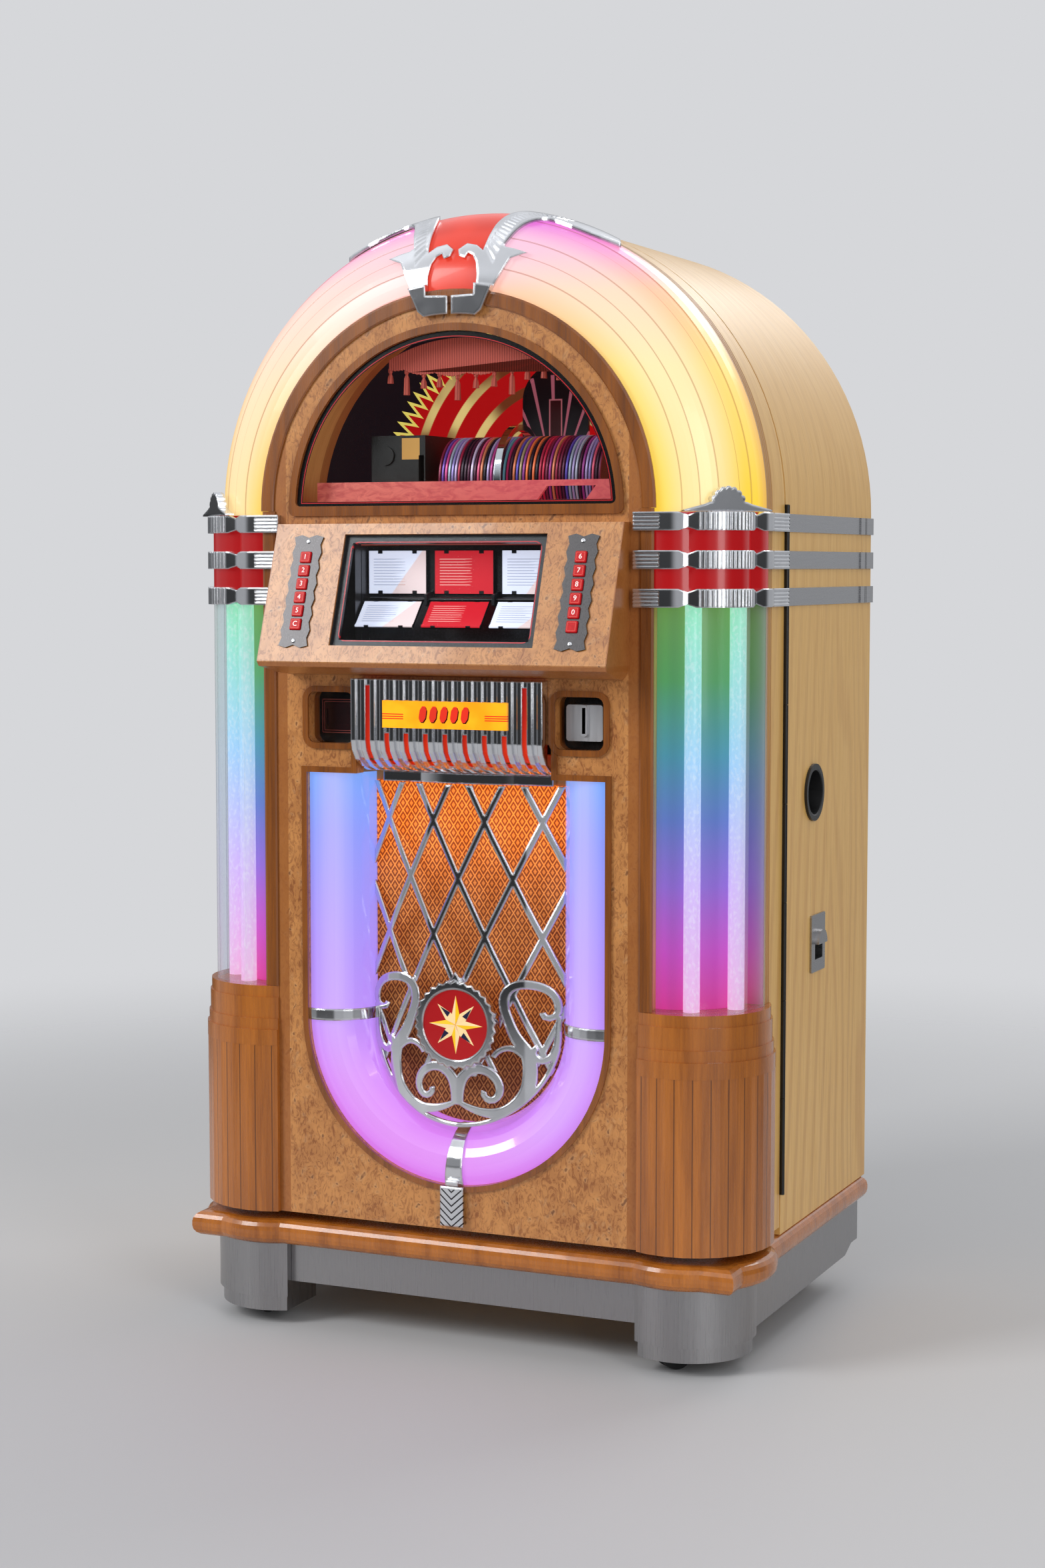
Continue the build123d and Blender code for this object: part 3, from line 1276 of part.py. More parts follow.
save("cabinet_shell", cabinet_shell())
save("rear_panel", rear_panel())
save("power_inlet", power_inlet())
save("base_frame", base_frame())
save("plinth_moulding", plinth_moulding())
save("plinth_cladding", *plinth_cladding())
save("side_bands", *side_bands())
save("carry_cups", *carry_cups())
save("coin_return_cup", coin_return_cup())
save("cabinet_hinge_leaf", hinge_leaf("cabinet"), hinge_pin())
save("mechanism_deck", *mechanism_deck())
save("backdrop_panel", backdrop_panel())
save("disc_magazine", *disc_magazine())
save("compact_discs", *compact_discs())
save("disc_player", disc_player())
save("disc_carriage", disc_carriage())
save("gripper_arm", gripper_arm())
save("amplifier_chassis", amplifier_chassis())
for side_name, side_sign in (("left", -1), ("right", 1)):
    save(f"front_{side_name}_fork", front_fork(side_name))
    save(f"front_{side_name}_wheel",
         wheel(side_sign * front_castor[0], front_castor[1], front_turns[side_name], castor_trail))
save("rear_wheels", *[wheel(s * rear_castor[0], rear_castor[1], rear_turn, 0) for s in (-1, 1)])
save("door_hinge_leaf", hinge_leaf("door"))
save("door_frame", door_frame())
save("facia_panel", *facia_panel())
save("facia_mouldings", *facia_mouldings())
save("door_glazing", *door_glazing())
save("arch_plastics", *arch_plastics())
save("crest_castings", *both_sides(crown_casting()), *both_sides(shell_crest()))
save("band_castings", *band_castings())
save("red_plastics", crown_plastic(), *column_inserts(), *fall_inserts(), medallion_disc())
save("column_covers", *column_covers())
save("column_lamps", *column_lamps())
save("pilaster_bases", *both_sides(pilaster_base()))
save("console_box", console_box())
save("title_rack", title_rack(), title_frame())
save("title_leaves", title_leaves())
save("keypad_plates", key_plate(-1), key_plate(1))
for key_name, key_x, key_along in key_places():
    save(key_name, key(key_x, key_along))
save("waterfall_casting", waterfall_casting(), shelf_bar())
save("name_panel", name_panel())
save("coin_entry", coin_entry())
save("credit_display", credit_display())
save("u_tube", u_tube())
save("grille_lattice", grille_lattice())
save("grille_cloth", grille_cloth())
save("scroll_castings", scroll_casting(), medallion_ring(), *tube_straps())
save("loudspeaker", loudspeaker())
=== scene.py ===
import math

import bmesh
import bpy
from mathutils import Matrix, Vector


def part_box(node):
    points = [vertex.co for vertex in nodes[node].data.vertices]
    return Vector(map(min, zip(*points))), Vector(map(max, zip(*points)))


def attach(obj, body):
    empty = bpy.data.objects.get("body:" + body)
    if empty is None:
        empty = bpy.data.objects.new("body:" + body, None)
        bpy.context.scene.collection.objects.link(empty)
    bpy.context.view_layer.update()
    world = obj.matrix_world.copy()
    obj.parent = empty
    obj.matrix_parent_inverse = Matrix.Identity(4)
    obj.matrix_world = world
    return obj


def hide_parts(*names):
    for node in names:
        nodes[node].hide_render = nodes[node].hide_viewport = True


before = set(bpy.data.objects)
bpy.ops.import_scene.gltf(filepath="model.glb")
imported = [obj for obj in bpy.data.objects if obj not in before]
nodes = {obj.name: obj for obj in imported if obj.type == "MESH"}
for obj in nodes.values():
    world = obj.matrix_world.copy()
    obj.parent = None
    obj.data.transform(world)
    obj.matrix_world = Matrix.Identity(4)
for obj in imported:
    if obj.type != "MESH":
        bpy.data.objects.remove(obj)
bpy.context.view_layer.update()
scene = bpy.context.scene
scene.view_settings.view_transform = "Standard"
print("frame loaded:", len(nodes), "CAD pieces")

# places taken from the frame, in metres
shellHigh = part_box("cabinet_shell")[1]
consoleLow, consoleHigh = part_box("console_box")
halfWidth = shellHigh.x
springHeight = shellHigh.z - halfWidth
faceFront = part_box("facia_panel")[0].y
columnX = halfWidth - 0.113  # centre of the quarter rounds at the front corners
columnY = faceFront + 0.117
columnLow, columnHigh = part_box("column_lamps")

# sloping face of the title console: its middle, its upward direction and the way it faces
slopeTop = Vector((0, faceFront - 0.020, consoleHigh.z))
slopeLip = Vector((0, consoleLow.y, consoleLow.z + 0.021))
slopeMiddle = (slopeTop + slopeLip) / 2
slopeUp = (slopeTop - slopeLip).normalized()
slopeOut = Vector((0, -slopeUp.z, slopeUp.y))
keyColumn = sum(corner.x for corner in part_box("key_6")) / 2  # the keys' middle, to either side


def rgb(red, green, blue, alpha=1.0):
    # screen values 0-255 to the linear values that sockets take
    linear = []
    for value in (red, green, blue):
        value /= 255
        linear.append(value / 12.92 if value <= 0.04045 else ((value + 0.055) / 1.055) ** 2.4)
    return (*linear, alpha)


def onSlope(y, z):
    # distance up the sloping face, and out of it
    up = (y - slopeMiddle.y) * slopeUp.y + (z - slopeMiddle.z) * slopeUp.z
    out = (y - slopeMiddle.y) * slopeOut.y + (z - slopeMiddle.z) * slopeOut.z
    return up, out


class Wire:
    # one socket; arithmetic on it adds Math nodes
    def __init__(self, shader, socket):
        self.shader = shader
        self.socket = socket

    def maths(self, operation, *values):
        return self.shader.add("ShaderNodeMath", {"operation": operation}, dict(enumerate(values)))

    def __add__(self, other):
        return self.maths("ADD", self, other)

    __radd__ = __add__

    def __sub__(self, other):
        return self.maths("SUBTRACT", self, other)

    def __rsub__(self, other):
        return self.maths("SUBTRACT", other, self)

    def __mul__(self, other):
        return self.maths("MULTIPLY", self, other)

    __rmul__ = __mul__

    def __truediv__(self, other):
        return self.maths("DIVIDE", self, other)

    def __pow__(self, other):
        return self.maths("POWER", self, other)

    def __abs__(self):
        return self.maths("ABSOLUTE", self)

    def sine(self):
        return self.maths("SINE", self)

    def angle(self, other):
        # angle of the point (other, self) from the first axis
        return self.maths("ARCTAN2", self, other)

    def least(self, other):
        return self.maths("MINIMUM", self, other)

    def most(self, other):
        return self.maths("MAXIMUM", self, other)

    def over(self, limit):
        return self.maths("GREATER_THAN", self, limit)

    def under(self, limit):
        return self.maths("LESS_THAN", self, limit)

    def within(self, low, high):
        return self.over(low) * self.under(high)

    def fold(self, step):
        return self.maths("PINGPONG", self, step)

    def repeat(self, step):
        return self.maths("FLOORED_MODULO", self, step)

    def floor(self):
        return self.maths("FLOOR", self)

    def ramp(self, low, high, outLow=0.0, outHigh=1.0):
        # smooth, clamped change between two values
        settings = {"interpolation_type": "SMOOTHSTEP"}
        values = {"Value": self, "From Min": low, "From Max": high, "To Min": outLow, "To Max": outHigh}
        return self.shader.add("ShaderNodeMapRange", settings, values)

    def colours(self, *stops):
        # stops are a position and a screen colour
        stops = [(position, rgb(*screen)) for position, *screen in stops]
        return self.shader.add("ShaderNodeValToRGB", {"stops": stops}, {"Fac": self})


class Shader:
    # a material, or the world, under construction
    def __init__(self, name, isWorld=False):
        self.material = (bpy.data.worlds if isWorld else bpy.data.materials).new(name)
        self.material.use_nodes = True
        self.tree = self.material.node_tree
        self.tree.nodes.clear()
        self.output = self.tree.nodes.new("ShaderNodeOutputWorld" if isWorld else "ShaderNodeOutputMaterial")

    def add(self, kind, settings=None, sockets=None, take=0):
        node = self.tree.nodes.new(kind)
        for key, value in (settings or {}).items():
            if key == "stops":
                ramp = node.color_ramp
                while len(ramp.elements) < len(value):
                    ramp.elements.new(0.5)
                for element, (position, colour) in zip(ramp.elements, value):
                    element.position = position
                    element.color = colour
            else:
                setattr(node, key, value)
        for key, value in (sockets or {}).items():
            if isinstance(value, Wire):
                self.tree.links.new(value.socket, node.inputs[key])
            else:
                node.inputs[key].default_value = value
        return Wire(self, node.outputs[take])

    def place(self, take=3):
        # x, y and z of the point in the object's own frame, or of the direction seen for take 0
        spot = self.add("ShaderNodeTexCoord", take=take)
        split = self.add("ShaderNodeSeparateXYZ", None, {0: spot})
        outputs = split.socket.node.outputs
        self.spot = [Wire(self, outputs[axis]) for axis in range(3)]
        return self.spot

    def vector(self, x=0.0, y=0.0, z=0.0):
        return self.add("ShaderNodeCombineXYZ", None, {0: x, 1: y, 2: z})

    def noise(self, vector, scale, detail=2.0, roughness=0.5, distortion=0.0):
        values = {"Vector": vector, "Scale": scale, "Detail": detail, "Roughness": roughness,
                  "Distortion": distortion}
        return self.add("ShaderNodeTexNoise", None, values)

    def grain(self, scale, detail=2):
        # noise that runs alike in every direction
        return self.noise(self.vector(*self.spot), scale, detail)

    def figure(self, scales, detail=2, roughness=0.5, distortion=0.0):
        # noise with its own scale along each axis
        spot = self.vector(*(place * scale for place, scale in zip(self.spot, scales)))
        return self.noise(spot, 1.0, detail, roughness, distortion)

    def mix(self, factor, first, second, blend="MIX"):
        settings = {"data_type": "RGBA", "blend_type": blend}
        return self.add("ShaderNodeMix", settings, {0: factor, 6: first, 7: second}, take=2)

    def bump(self, height, strength, distance):
        values = {"Height": height, "Strength": strength, "Distance": distance}
        return self.add("ShaderNodeBump", None, values)

    def principled(self, sockets):
        return self.finish(self.add("ShaderNodeBsdfPrincipled", None, sockets))

    def glowing(self, colour, strength, roughness, light=None, more=None):
        # gives out its own colour, or the colours of light
        sockets = {"Base Color": colour, "Roughness": roughness, "Emission Color": light or colour,
                   "Emission Strength": strength}
        return self.principled({**sockets, **(more or {})})

    def lit(self, colour, strength, roughness, coat=0.7):
        # lit plastic: a darker surface under a clear coat
        surface = self.mix(0.62, colour, (0, 0, 0, 1))
        coating = {"Coat Weight": coat, "Coat Roughness": 0.03}
        return self.glowing(surface, strength, roughness, colour, coating)

    def finish(self, surface):
        self.tree.links.new(surface.socket, self.output.inputs["Surface"])
        return self.material


def begin(name):
    # a new material, with the x, y and z of its points
    shader = Shader(name)
    return (shader, *shader.place())


# wood

wood = {
    "oakPale": rgb(240, 192, 110),
    "oakDark": rgb(214, 158, 84),
    "oakPore": rgb(168, 116, 58),
    "maplePale": rgb(212, 146, 82),
    "mapleDark": rgb(150, 88, 42),
    "mapleEye": rgb(104, 56, 28),
    "mapleHalo": rgb(226, 178, 126),
    "honeyPale": rgb(204, 122, 44),
    "honeyDark": rgb(144, 78, 22),
    "trimPale": rgb(164, 96, 38),
    "trimDark": rgb(102, 54, 18),
    "joint": rgb(70, 36, 12),
}


def columnColours(height):
    # colours of the lit columns from magenta at the foot to green at the top
    share = (height - columnLow.z) / (columnHigh.z - columnLow.z)
    return share.colours(
        (0.0, 226, 40, 150), (0.14, 206, 70, 196), (0.30, 150, 104, 214),
        (0.46, 96, 122, 200), (0.62, 70, 150, 170), (0.80, 84, 160, 92),
        (1.0, 110, 158, 70))


oakFigure = {
    "heart": 0.16,  # the upright line of the pointed figure, from front to back
    "rim": (-0.01, 0.024),  # reeded strip beside the lit arch
    "skin": 0.0006,
}


def oakVeneer():
    # grain runs up the sides and on round the arch, as in bent veneer
    shader, x, y, z = begin("oakVeneer")
    turn = (z - springHeight).most(0.0).angle(abs(x))
    along = z.least(springHeight) + turn * halfWidth
    wander = shader.noise(shader.vector(y * 6, along * 1.1, x), 1.0, 2, 0.5)
    heart = abs(y - oakFigure["heart"] + (wander - 0.5) * 0.12)
    flames = ((heart * 5 + along * 0.55 + wander * 0.5) * 34).sine() * 0.5 + 0.5
    flames = flames.ramp(0.45, 1.0) * (along * 1.4).ramp(0.4, 1.8, 1.0, 0.35)
    fine = shader.noise(shader.vector(y * 460, along * 7, x * 3), 1.0, 3, 0.65)
    pores = shader.noise(shader.vector(y * 1100, along * 24, x * 3), 1.0, 2, 0.7)
    tone = flames * 0.5 + fine.ramp(0.35, 0.75) * 0.5
    colour = shader.mix(tone, wood["oakPale"], wood["oakDark"])
    colour = shader.mix(pores.ramp(0.58, 0.72) * 0.4, colour, wood["oakPore"])
    rim = (y - columnY).within(*oakFigure["rim"])
    colour = shader.mix(rim * 0.55, colour, wood["honeyDark"])
    # painted light: the column lamps' colours laid on the oak behind them, as their glow
    paintedLampGlow = y.under(columnY + oakFigure["skin"]) * abs(x).over(columnX)
    paintedLampGlow = paintedLampGlow * z.within(columnLow.z, columnHigh.z)  # back wall of the lit columns
    colour = shader.mix(paintedLampGlow * 0.8, colour, columnColours(z))
    return shader.principled({
        "Base Color": colour, "Roughness": fine.ramp(0.2, 0.8, 0.34, 0.48), "Coat Weight": 0.15,
        "Coat Roughness": 0.2, "Normal": shader.bump(pores, 0.08, 0.0006)})


# stain on the console's ends and lower edge, and the place of the painted shade in the pocket behind the
# title frame
stainedAndShaded = {
    "ends": 0.2525,  # the console's stained ends and lower edge
    "lowEdge": 0.0195,
    "pocketHalf": 0.2445,  # dark pocket behind the title frame
    "pocketFoot": 0.0265,
    "pocketHead": 0.009,
    "pocketDepth": 0.003,
}


def mapleVeneer():
    # bird's-eye figure: soft clouds, short ripples and scattered small dark eyes
    shader, x, y, z = begin("mapleVeneer")
    cloud = shader.figure((30, 30, 22), 3, 0.6, 0.6)
    ripple = shader.figure((120, 120, 62), 3, 0.65, 2.4)
    warp = shader.grain(40.0) * 0.03
    bent = shader.vector(x + warp, y, z * 0.8 + warp)
    cells = shader.add("ShaderNodeTexVoronoi", {"feature": "F1"}, {"Vector": bent, "Scale": 95.0})
    chosen = shader.grain(34.0, 1).ramp(0.50, 0.56)
    eyes = cells.ramp(0.10, 0.24, 1.0, 0.0) * chosen
    halo = cells.ramp(0.2, 0.5, 1.0, 0.0) * chosen
    tone = cloud.ramp(0.36, 0.66) * 0.4 + ripple.ramp(0.46, 0.64) * 0.6
    colour = shader.mix(tone, wood["maplePale"], wood["mapleDark"])
    colour = shader.mix(halo * 0.25, colour, wood["mapleHalo"])
    colour = shader.mix(eyes * 0.75, colour, wood["mapleEye"])
    low = z.under(consoleLow.z + stainedAndShaded["lowEdge"]) * y.under(faceFront - 0.001)
    edge = abs(x).over(stainedAndShaded["ends"]) + low
    colour = shader.mix((edge * 0.8).least(1.0), colour, wood["trimPale"])
    # painted shade: the sunk pocket behind the title frame is coloured near black
    tall = z.within(consoleLow.z + stainedAndShaded["pocketFoot"], consoleHigh.z - stainedAndShaded["pocketHead"])
    sunk = onSlope(y, z)[1].under(-stainedAndShaded["pocketDepth"])
    pocketShade = abs(x).under(stainedAndShaded["pocketHalf"]) * tall * sunk
    colour = shader.mix(pocketShade, colour, rgb(14, 12, 14))
    return shader.principled({
        "Base Color": colour, "Roughness": ripple.ramp(0.2, 0.8, 0.28, 0.40), "Coat Weight": 0.3,
        "Coat Roughness": 0.06})


def deckMaple():
    # the mechanism's deck, washed with pink light from the lamps round the window
    shader, x, _, _ = begin("deckMaple")
    ripple = shader.figure((40, 40, 90), 3, 0.6, 1.8)
    colour = shader.mix(ripple.ramp(0.35, 0.7), rgb(236, 120, 104), rgb(206, 84, 78))
    lit = (x / 0.2).ramp(-1.0, 0.8)
    colour = shader.mix(lit * 0.5, colour, rgb(226, 74, 96))
    return shader.glowing(colour, 0.25, 0.35)


staves = {"count": 28, "height": 0.235, "setBack": 0.025}  # coopered staves round the columns' bases


def honeyWood(name, pale, dark, coopered=False):
    shader, x, y, z = begin(name)
    band = shader.figure((34, 34, 2.4), 3, 0.55, 0.6)
    fine = shader.figure((420, 420, 14), 3, 0.6)
    tone = band.ramp(0.3, 0.72) * 0.6 + fine.ramp(0.3, 0.8) * 0.4
    colour = shader.mix(tone, wood[pale], wood[dark])
    if coopered:
        back = staves["setBack"]
        turn = (columnY - back - y).angle(abs(x) - columnX - back) / math.tau * staves["count"]
        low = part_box("pilaster_bases")[0].z
        tall = z.within(low, low + staves["height"])
        tone = ((turn + 0.5) * 7.3).sine() * tall
        colour = shader.mix(tone.ramp(-1.0, 1.0, 0.0, 0.3), colour, wood[dark])
        joint = (turn.fold(0.5) * 2).ramp(0.90, 0.98) * tall
        colour = shader.mix(joint * 0.8, colour, wood["joint"])
    return shader.principled({
        "Base Color": colour, "Roughness": fine.ramp(0.2, 0.8, 0.22, 0.32), "Coat Weight": 0.5,
        "Coat Roughness": 0.04})


# metals

chevrons = {"lean": 0.9, "pitch": 0.0095, "width": 0.13}


def chrome(name, rounding, leafTop=0.0):
    # plated castings with softened edges; below leafTop the plate carries a row of chevrons
    shader, x, _, z = begin(name)
    haze = shader.grain(40.0, 3)
    colour = shader.mix(haze, rgb(232, 233, 236), rgb(214, 216, 220))
    chevron = ((z - abs(x) * chevrons["lean"]) / chevrons["pitch"]).fold(0.5).under(chevrons["width"])
    colour = shader.mix(chevron * z.under(leafTop), colour, rgb(66, 62, 66))
    return shader.principled({
        "Base Color": colour, "Metallic": 1.0, "Roughness": haze.ramp(0.3, 0.7, 0.05, 0.10),
        "Normal": shader.add("ShaderNodeBevel", {"samples": 4}, {"Radius": rounding})})


def brushedSteel(name, level, vertical=False):
    shader = begin(name)[0]
    hair = shader.figure((900, 900, 12) if vertical else (12, 12, 900), 3, 0.7)
    dark = rgb(level - 26, level - 27, level - 26)
    return shader.principled({
        "Base Color": shader.mix(hair, dark, rgb(level, level - 1, level)), "Metallic": 1.0,
        "Roughness": hair.ramp(0.2, 0.8, 0.24, 0.38), "Normal": shader.bump(hair, 0.05, 0.0003)})


def sideBandSteel():
    # satin straps with bright plated caps at the back
    shader, _, y, _ = begin("sideBandSteel")
    hair = shader.figure((12, 12, 900), 3, 0.7)
    capLength = 0.062
    cap = y.over(shellHigh.y - capLength)
    colour = shader.mix(hair, rgb(170, 170, 172), rgb(196, 196, 198))
    rough = hair.ramp(0.2, 0.8, 0.20, 0.32) - cap * 0.14
    return shader.principled({"Base Color": colour, "Metallic": 1.0, "Roughness": rough})


def blackFinish(name, tone=12, roughness=0.4):
    shader = begin(name)[0]
    grain = shader.grain(900.0)
    return shader.principled({
        "Base Color": shader.mix(grain, rgb(tone, tone, tone + 1), rgb(tone + 10, tone + 10, tone + 11)),
        "Roughness": grain.ramp(0.3, 0.7, roughness - 0.06, roughness + 0.06),
        "Normal": shader.bump(grain, 0.06, 0.0003)})


# lit plastics

glow = {
    "arch": 0.78,
    "column": 0.85,
    "tube": 0.8,
    "red": 0.6,
    "cloth": 1.9,
    "card": 0.7,
    "archLines": (20.0, 31.0, 47.0, 60.0, 72.0),  # steps round the section, in degrees from the side
    "archLine": 0.45,
}


def archPlastic():
    # pink beside the crown, cream on the shoulders and yellow at the spring line
    shader, x, y, z = begin("archPlastic")
    rise = (z - springHeight).most(0.0)
    reach = (x * x + rise * rise) ** 0.5
    turn = (columnY - y).angle(reach - columnX) * (180 / math.pi)
    height = rise / halfWidth
    run = shader.figure((3, 3, 3)) * 0.12 - 0.06
    right = (height + run).colours(
        (0.0, 255, 216, 60), (0.45, 255, 220, 122), (0.70, 255, 196, 160),
        (0.84, 246, 156, 206), (1.0, 226, 108, 222))
    left = (height + run).colours(
        (0.0, 250, 204, 72), (0.40, 252, 198, 130), (0.75, 244, 178, 178),
        (1.0, 228, 124, 212))
    colour = shader.mix((x / halfWidth).ramp(-0.2, 0.2), left, right)
    core = turn.ramp(22, 50) * turn.ramp(66, 92, 1.0, 0.0)
    colour = shader.mix(core * 0.4, colour, rgb(255, 246, 228))
    colour = shader.mix(turn.ramp(0.0, 16.0, 0.55, 0.0), colour, rgb(214, 132, 40))
    near = turn.most(0.0)
    for place in glow["archLines"]:
        near = near.least(abs(turn - place))
    line = near.under(glow["archLine"]) * turn.over(0.5)
    colour = shader.mix(line * 0.45, colour, rgb(150, 84, 40))
    return shader.lit(colour, glow["arch"], 0.3, 0.12)


reds = {"crown": 0.1, "slotFoot": 0.75, "slotGlow": (0.80, 0.89)}  # the crown is above the spring line


def redPlastic():
    shader, _, _, z = begin("redPlastic")
    run = shader.grain(9.0)
    crown = z.over(springHeight + reds["crown"])
    slots = z.within(reds["slotFoot"], consoleLow.z)
    lit = shader.mix(crown, rgb(184, 16, 22), rgb(250, 62, 34))
    lit = shader.mix(slots * z.ramp(*reds["slotGlow"], 0.9, 0.2), lit, rgb(255, 60, 20))
    colour = shader.mix(run.ramp(0.35, 0.65) * 0.3, lit, rgb(160, 8, 14))
    return shader.lit(colour, glow["red"], 0.25, 0.2)


bubbleTubes = {"near": 0.045, "far": 0.0905, "radius": 0.0115}  # distances out of the column's centre


def columnGlow():
    # coloured diffuser, with the two bubble tubes of each column picked out by where they stand
    shader, x, y, z = begin("columnGlow")
    height = (z - columnLow.z) / (columnHigh.z - columnLow.z)
    side, front = abs(x) - columnX, columnY - y
    near, far = bubbleTubes["near"], bubbleTubes["far"]
    first = (side - near) ** 2 + (front - far) ** 2
    second = (side - far) ** 2 + (front - near) ** 2
    tube = first.least(second).under(bubbleTubes["radius"] ** 2)
    bubble = height.colours(
        (0.0, 255, 190, 236), (0.3, 226, 196, 255), (0.6, 176, 220, 255),
        (1.0, 160, 246, 196))
    foam = shader.figure((260, 260, 160))
    bubble = shader.mix(foam.ramp(0.45, 0.7) * 0.3, bubble, rgb(255, 255, 255))
    reeds = ((abs(x) - y) * 300).sine() * 0.5 + 0.5
    colour = shader.mix(reeds * 0.12, columnColours(z), rgb(30, 40, 60))
    colour = shader.mix(tube, colour, bubble)
    return shader.lit(colour, glow["column"], 0.3, 0.2)


lightTube = {"centre": 0.221, "radius": 0.187, "half": 0.034}  # round part: its centre above the tube's foot


def tubePlastic():
    # moulded light tube: blue at the top of both legs, violet and pink round the bottom, with a painted
    # highlight along its middle
    shader, x, _, z = begin("tubePlastic")
    low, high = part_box("u_tube")
    height = (z - low.z) / (high.z - low.z)
    run = shader.figure((4, 4, 4)) * 0.1 - 0.05
    colour = (height + run).colours(
        (0.0, 206, 124, 236), (0.25, 202, 140, 246), (0.55, 176, 146, 250),
        (0.85, 142, 156, 252), (1.0, 124, 170, 255))
    # painted highlight: a paler band along the middle of the tube's round part
    drop = (low.z + lightTube["centre"] - z).most(0.0)
    ring = (x * x + drop * drop) ** 0.5
    middle = abs(ring - lightTube["radius"]).ramp(0.0, lightTube["half"], 0.3, 0.0)
    colour = shader.mix(middle, colour, rgb(240, 214, 255))
    pink = (height * 1.3 + x * 0.9).ramp(0.0, 0.4, 0.4, 0.0)
    colour = shader.mix(pink, colour, rgb(226, 112, 230))
    return shader.lit(colour, glow["tube"], 0.12)


def clearSkin(name, tint, cover, edgeCover=0.6):
    # clear plastic or glass: see-through, with gloss that grows at the edges
    shader = Shader(name)
    edge = shader.add("ShaderNodeLayerWeight", None, {"Blend": 0.3}, take=1)
    through = shader.add("ShaderNodeBsdfTransparent", None, {"Color": tint})
    gloss = shader.add("ShaderNodeBsdfPrincipled", None, {
        "Base Color": tint, "Roughness": 0.03, "Coat Weight": 0.5, "Coat Roughness": 0.02})
    share = edge.ramp(0.0, 1.0, cover, edgeCover)
    return shader.finish(shader.add("ShaderNodeMixShader", None, {0: share, 1: through, 2: gloss}))


weave = {"across": 78, "up": 52, "thread": 2600}  # diamonds and threads to the metre


def grilleCloth():
    # woven cloth with small double diamonds, lit from above
    shader, x, _, z = begin("grilleCloth")
    low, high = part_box("grille_cloth")
    across, up = x * weave["across"], z * weave["up"]
    diamond = ((across + up).fold(0.5) * 2).least((across - up).fold(0.5) * 2)
    outer = diamond.ramp(0.08, 0.22, 1.0, 0.0)
    inner = diamond.ramp(0.52, 0.62)
    thread = (x * weave["thread"]).sine() * 0.25 + (z * weave["thread"]).sine() * 0.25 + 0.5
    colour = shader.mix(outer, rgb(120, 64, 24), rgb(224, 158, 88))
    colour = shader.mix(inner * 0.8, colour, rgb(214, 148, 80))
    colour = shader.mix(thread * 0.35, colour, rgb(66, 34, 14))
    top = ((z - low.z) / (high.z - low.z)).ramp(0.45, 1.0) ** 2
    wash = (z * 3.3 + x).ramp(1.2, 1.9) * 0.25
    lamp = shader.mix(top + wash, rgb(40, 14, 3), rgb(255, 176, 40))
    light = shader.mix(1.0, colour, lamp, "MULTIPLY")
    relief = {"Normal": shader.bump(thread + outer, 0.3, 0.0006)}
    return shader.glowing(colour, glow["cloth"], 0.7, light, relief)


def plainGlow(name, colour, strength):
    shader = begin(name)[0]
    run = shader.grain(14.0)
    shade = shader.mix(run.ramp(0.3, 0.7) * 0.12, colour, rgb(60, 40, 30))
    return shader.glowing(shade, strength, 0.3)


# console details, drawn by place on the pieces that carry them

cards = {
    "pitch": 0.1,
    "half": 0.0432,
    "rules": 260,  # printed lines to the metre
    "margin": 0.010,
    "clip": 0.026,  # black clips, out of the card's middle
    "clipHalf": 0.0035,
    "clipTall": 0.004,
    "axis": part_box("title_leaves")[1].z - 0.003,  # of the leaves
    "upper": (0.008, 0.0659, 0.066),  # upright cards above that axis: foot, head and the top they print from
    "upperDepth": (0.0347, 0.036),
    "lower": (0.0035, 0.0495),  # printed part of a leaf
    "lowerLength": 0.05,
    "lean": 42.0,
    "pale": rgb(232, 236, 255),
    "red": rgb(206, 30, 44),
    "rule": rgb(120, 124, 150),
    "black": rgb(10, 10, 12),
}


def roundedEdge(across, up, halfAcross, halfUp, corner):
    # distance out of a rounded rectangle's edge
    right = (abs(across) - (halfAcross - corner)).most(0.0)
    top = (abs(up) - (halfUp - corner)).most(0.0)
    return (right * right + top * top) ** 0.5 - corner


def cardPrint(shader, x, reach, length):
    # pale and red cards with faint rules and black clips; reach runs down a card from its top edge
    half = cards["pitch"] / 2
    along = (x + half).repeat(cards["pitch"]) - half
    centre = abs(x).under(half)
    card = shader.mix(centre, cards["pale"], cards["red"])
    lines = reach * cards["rules"]
    rules = lines.fold(0.5).under(0.16) * reach.within(cards["margin"], length - cards["margin"])
    ragged = shader.noise(shader.vector(x, lines, 0.0), 1.0, 0).ramp(0.3, 0.7, -0.01, 0.03)
    rules = rules * along.within(-0.036, 0.012) * along.under(ragged)
    card = shader.mix(rules * 0.55, card, shader.mix(centre, cards["rule"], rgb(250, 200, 190)))
    corner = (along - 0.004) + reach * 0.8
    tint = corner.over(0.034) * (1 - centre)
    card = shader.mix(tint * 0.45, card, rgb(240, 176, 130))
    ends = reach.under(cards["clipTall"]) + reach.over(length - cards["clipTall"])
    clip = abs(abs(along) - cards["clip"]).under(cards["clipHalf"]) * ends.least(1.0)
    card = shader.mix(clip, card, cards["black"])
    return card, abs(along).under(cards["half"])


titleFrame = {
    "middle": 0.004,  # above the middle of the slope
    "half": (0.139, 0.0685),
    "corner": 0.010,
    "keyline": 0.0014,
    "depth": 0.0125,
    "red": rgb(190, 20, 30),
}


